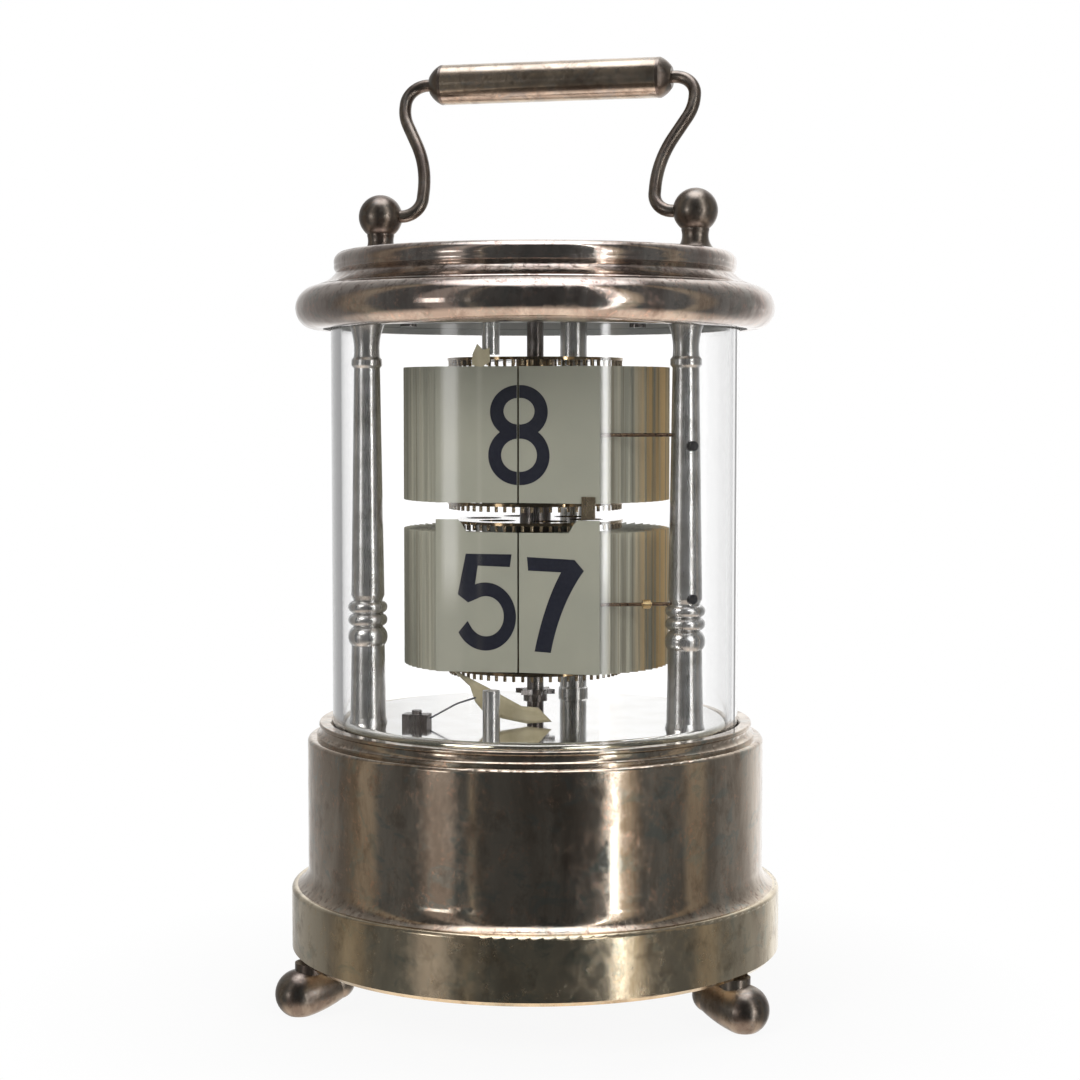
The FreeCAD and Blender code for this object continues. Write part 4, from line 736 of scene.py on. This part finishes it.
def room_colour(level, tint):
    """A stop's colour, as a share of the room's brightest."""
    return [level * c / ROOM_PEAK for c in TINTS[tint]] + [1.0]


def panes(w, share, height):
    """The extra light of the small panes, which only reach a little above and below eye level."""
    dark = grey(0.0)
    lit = by_angle(w, share, dark, dark, [(degree, grey(level / PANES_PEAK)) for degree, level in PANES])
    low, low_full, high_full, high = PANES_HEIGHT
    above, below = w.smooth(height, low, low_full), w.opposite(w.smooth(height, high_full, high))
    return scaled(w, lit, w.maths("MULTIPLY", w.maths("MULTIPLY", above, below), PANES_PEAK))


def room(w):
    """What polished metal sees: a dark room on the camera's side with tall soft boxes, white behind."""
    where = w.node("ShaderNodeTexCoord").outputs["Generated"]
    turned = w.node("ShaderNodeMapping", {"Vector": where, "Rotation": (0.0, 0.0, radians(-VIEW_TURN))})
    x, y, z = w.node("ShaderNodeSeparateXYZ", {0: turned.outputs[0]}).outputs
    angle = w.maths("ARCTAN2", x, w.maths("MULTIPLY", y, -1.0))
    share = w.maths("ADD", w.maths("DIVIDE", angle, 2 * pi), 0.5)
    rows = [(degree, room_colour(level, tint)) for degree, level, tint in ROOM]
    walls = scaled(w, by_angle(w, share, rows[0][1], rows[-1][1], rows[1:-1]), ROOM_PEAK)
    bright = w.vector("ADD", {0: walls, 1: panes(w, share, z)}).outputs[0]
    up = w.smooth(z, CEILING_FROM, CEILING_TO)
    down = w.smooth(w.maths("MULTIPLY", z, -1.0), GROUND_FROM, GROUND_TO)
    return w.blend(down, w.blend(up, bright, tone(*CEILING)), tone(*GROUND))


def ray_shares(w):
    """Shares for rays straight from the camera, for those that have come through the glass, and for
    those that polished metal sends on."""
    rays = w.node("ShaderNodeLightPath").outputs
    mirrored = w.maths("GREATER_THAN", rays["Glossy Depth"], ANY_BOUNCE)
    scattered = w.maths("GREATER_THAN", rays["Diffuse Depth"], ANY_BOUNCE)
    clean = w.opposite(w.maths("MAXIMUM", mirrored, scattered))
    through = w.maths("MULTIPLY", rays["Is Transmission Ray"], clean)
    sent_on = w.maths("MAXIMUM", rays["Is Glossy Ray"], rays["Is Transmission Ray"])
    glossy = w.maths("MULTIPLY", w.maths("MULTIPLY", mirrored, sent_on), w.opposite(scattered))
    return rays["Is Camera Ray"], through, glossy


def make_world():
    """White behind the clock, the room for what is mirrored, and plain grey for all other light."""
    world = bpy.data.worlds.new("studio")
    bpy.context.scene.world = world
    world.use_nodes = True
    w = Nodes(world.node_tree, "ShaderNodeOutputWorld")
    seen, through, glossy = ray_shares(w)
    colour = w.blend(glossy, grey(PLAIN_LEVEL), room(w))
    colour = w.blend(seen, colour, grey(1.0))
    colour = w.blend(through, colour, grey(THROUGH_GLASS))
    w.show(w.node("ShaderNodeBackground", {0: colour}))


def make_floor():
    """A pale floor that is white to the camera but for the clock's own shadow. What is mirrored in the
    clock sees past it, to the room."""
    f = Finish("studio_floor")
    rays = f.node("ShaderNodeLightPath").outputs
    colour = f.blend(f.follow(f.noise(60.0, detail=3.0), 0.0, 1.0), *[grey(level) for level in FLOOR_TONES])
    pale = f.node("ShaderNodeBsdfDiffuse", {0: colour})
    level = f.between(rays["Is Transmission Ray"], 0.0, 1.0, 1.0, THROUGH_GLASS)
    glow = f.node("ShaderNodeEmission", {0: grey(1.0), 1: level})
    distance = f.vector("LENGTH", {0: f.place()}).outputs["Value"]
    white = f.mix(f.between(distance, *SHADOW_REACH, FLOOR_GLOW, 1.0), pale, glow)
    direct = f.maths("MAXIMUM", rays["Is Camera Ray"], rays["Is Transmission Ray"])
    mirrored = f.maths("GREATER_THAN", rays["Glossy Depth"], ANY_BOUNCE)
    f.show(f.mix(mirrored, f.mix(direct, pale, white), f.node("ShaderNodeBsdfTransparent")))
    work = bmesh.new()
    bmesh.ops.create_circle(work, cap_ends=True, segments=FLOOR_SIDES, radius=FLOOR_RADIUS)
    bmesh.ops.translate(work, verts=work.verts, vec=(0, 0, -FLOOR_DROP * MM))
    mesh = bmesh_to_mesh(work, "floor")
    mesh.materials.append(f.material)
    floor = bpy.data.objects.new("floor", mesh)
    link(floor)


def make_lamps():
    """Round lamps that light the clock and aren't mirrored in it."""
    for name, (place, size, power, colour) in LAMPS.items():
        light = bpy.data.lights.new(name, "AREA")
        light.shape, light.size, light.energy, light.color = "DISK", size, power, colour
        lamp = bpy.data.objects.new(name, light)
        lamp.location = place
        lamp.rotation_mode = "QUATERNION"
        lamp.rotation_quaternion = (Vector(LAMP_AIM) - Vector(place)).to_track_quat("-Z", "Y")
        lamp.visible_glossy = False
        link(lamp)


def make_camera():
    """The camera, right of the clock's front and a little above its middle."""
    lens = bpy.data.cameras.new("camera")
    lens.lens, lens.sensor_width = CAMERA_LENS, CAMERA_SENSOR
    lens.clip_start, lens.clip_end = CAMERA_CLIP
    camera = bpy.data.objects.new("camera", lens)
    camera.location = CAMERA_PLACE
    camera.rotation_euler = tuple(radians(a) for a in CAMERA_TURN)
    link(camera)
    bpy.context.scene.camera = camera


# ---------------------------------------------------------------- making
bpy.context.scene.view_settings.view_transform = "Standard"
make_camera()
make_world()
make_lamps()
slots = take_off_plain_paint()
make_floor()
dress_nodes(finishes(), slots)
figures(ink())
celluloid = old_celluloid()
shard(celluloid)
chip(celluloid)
screw_ends(blackened())
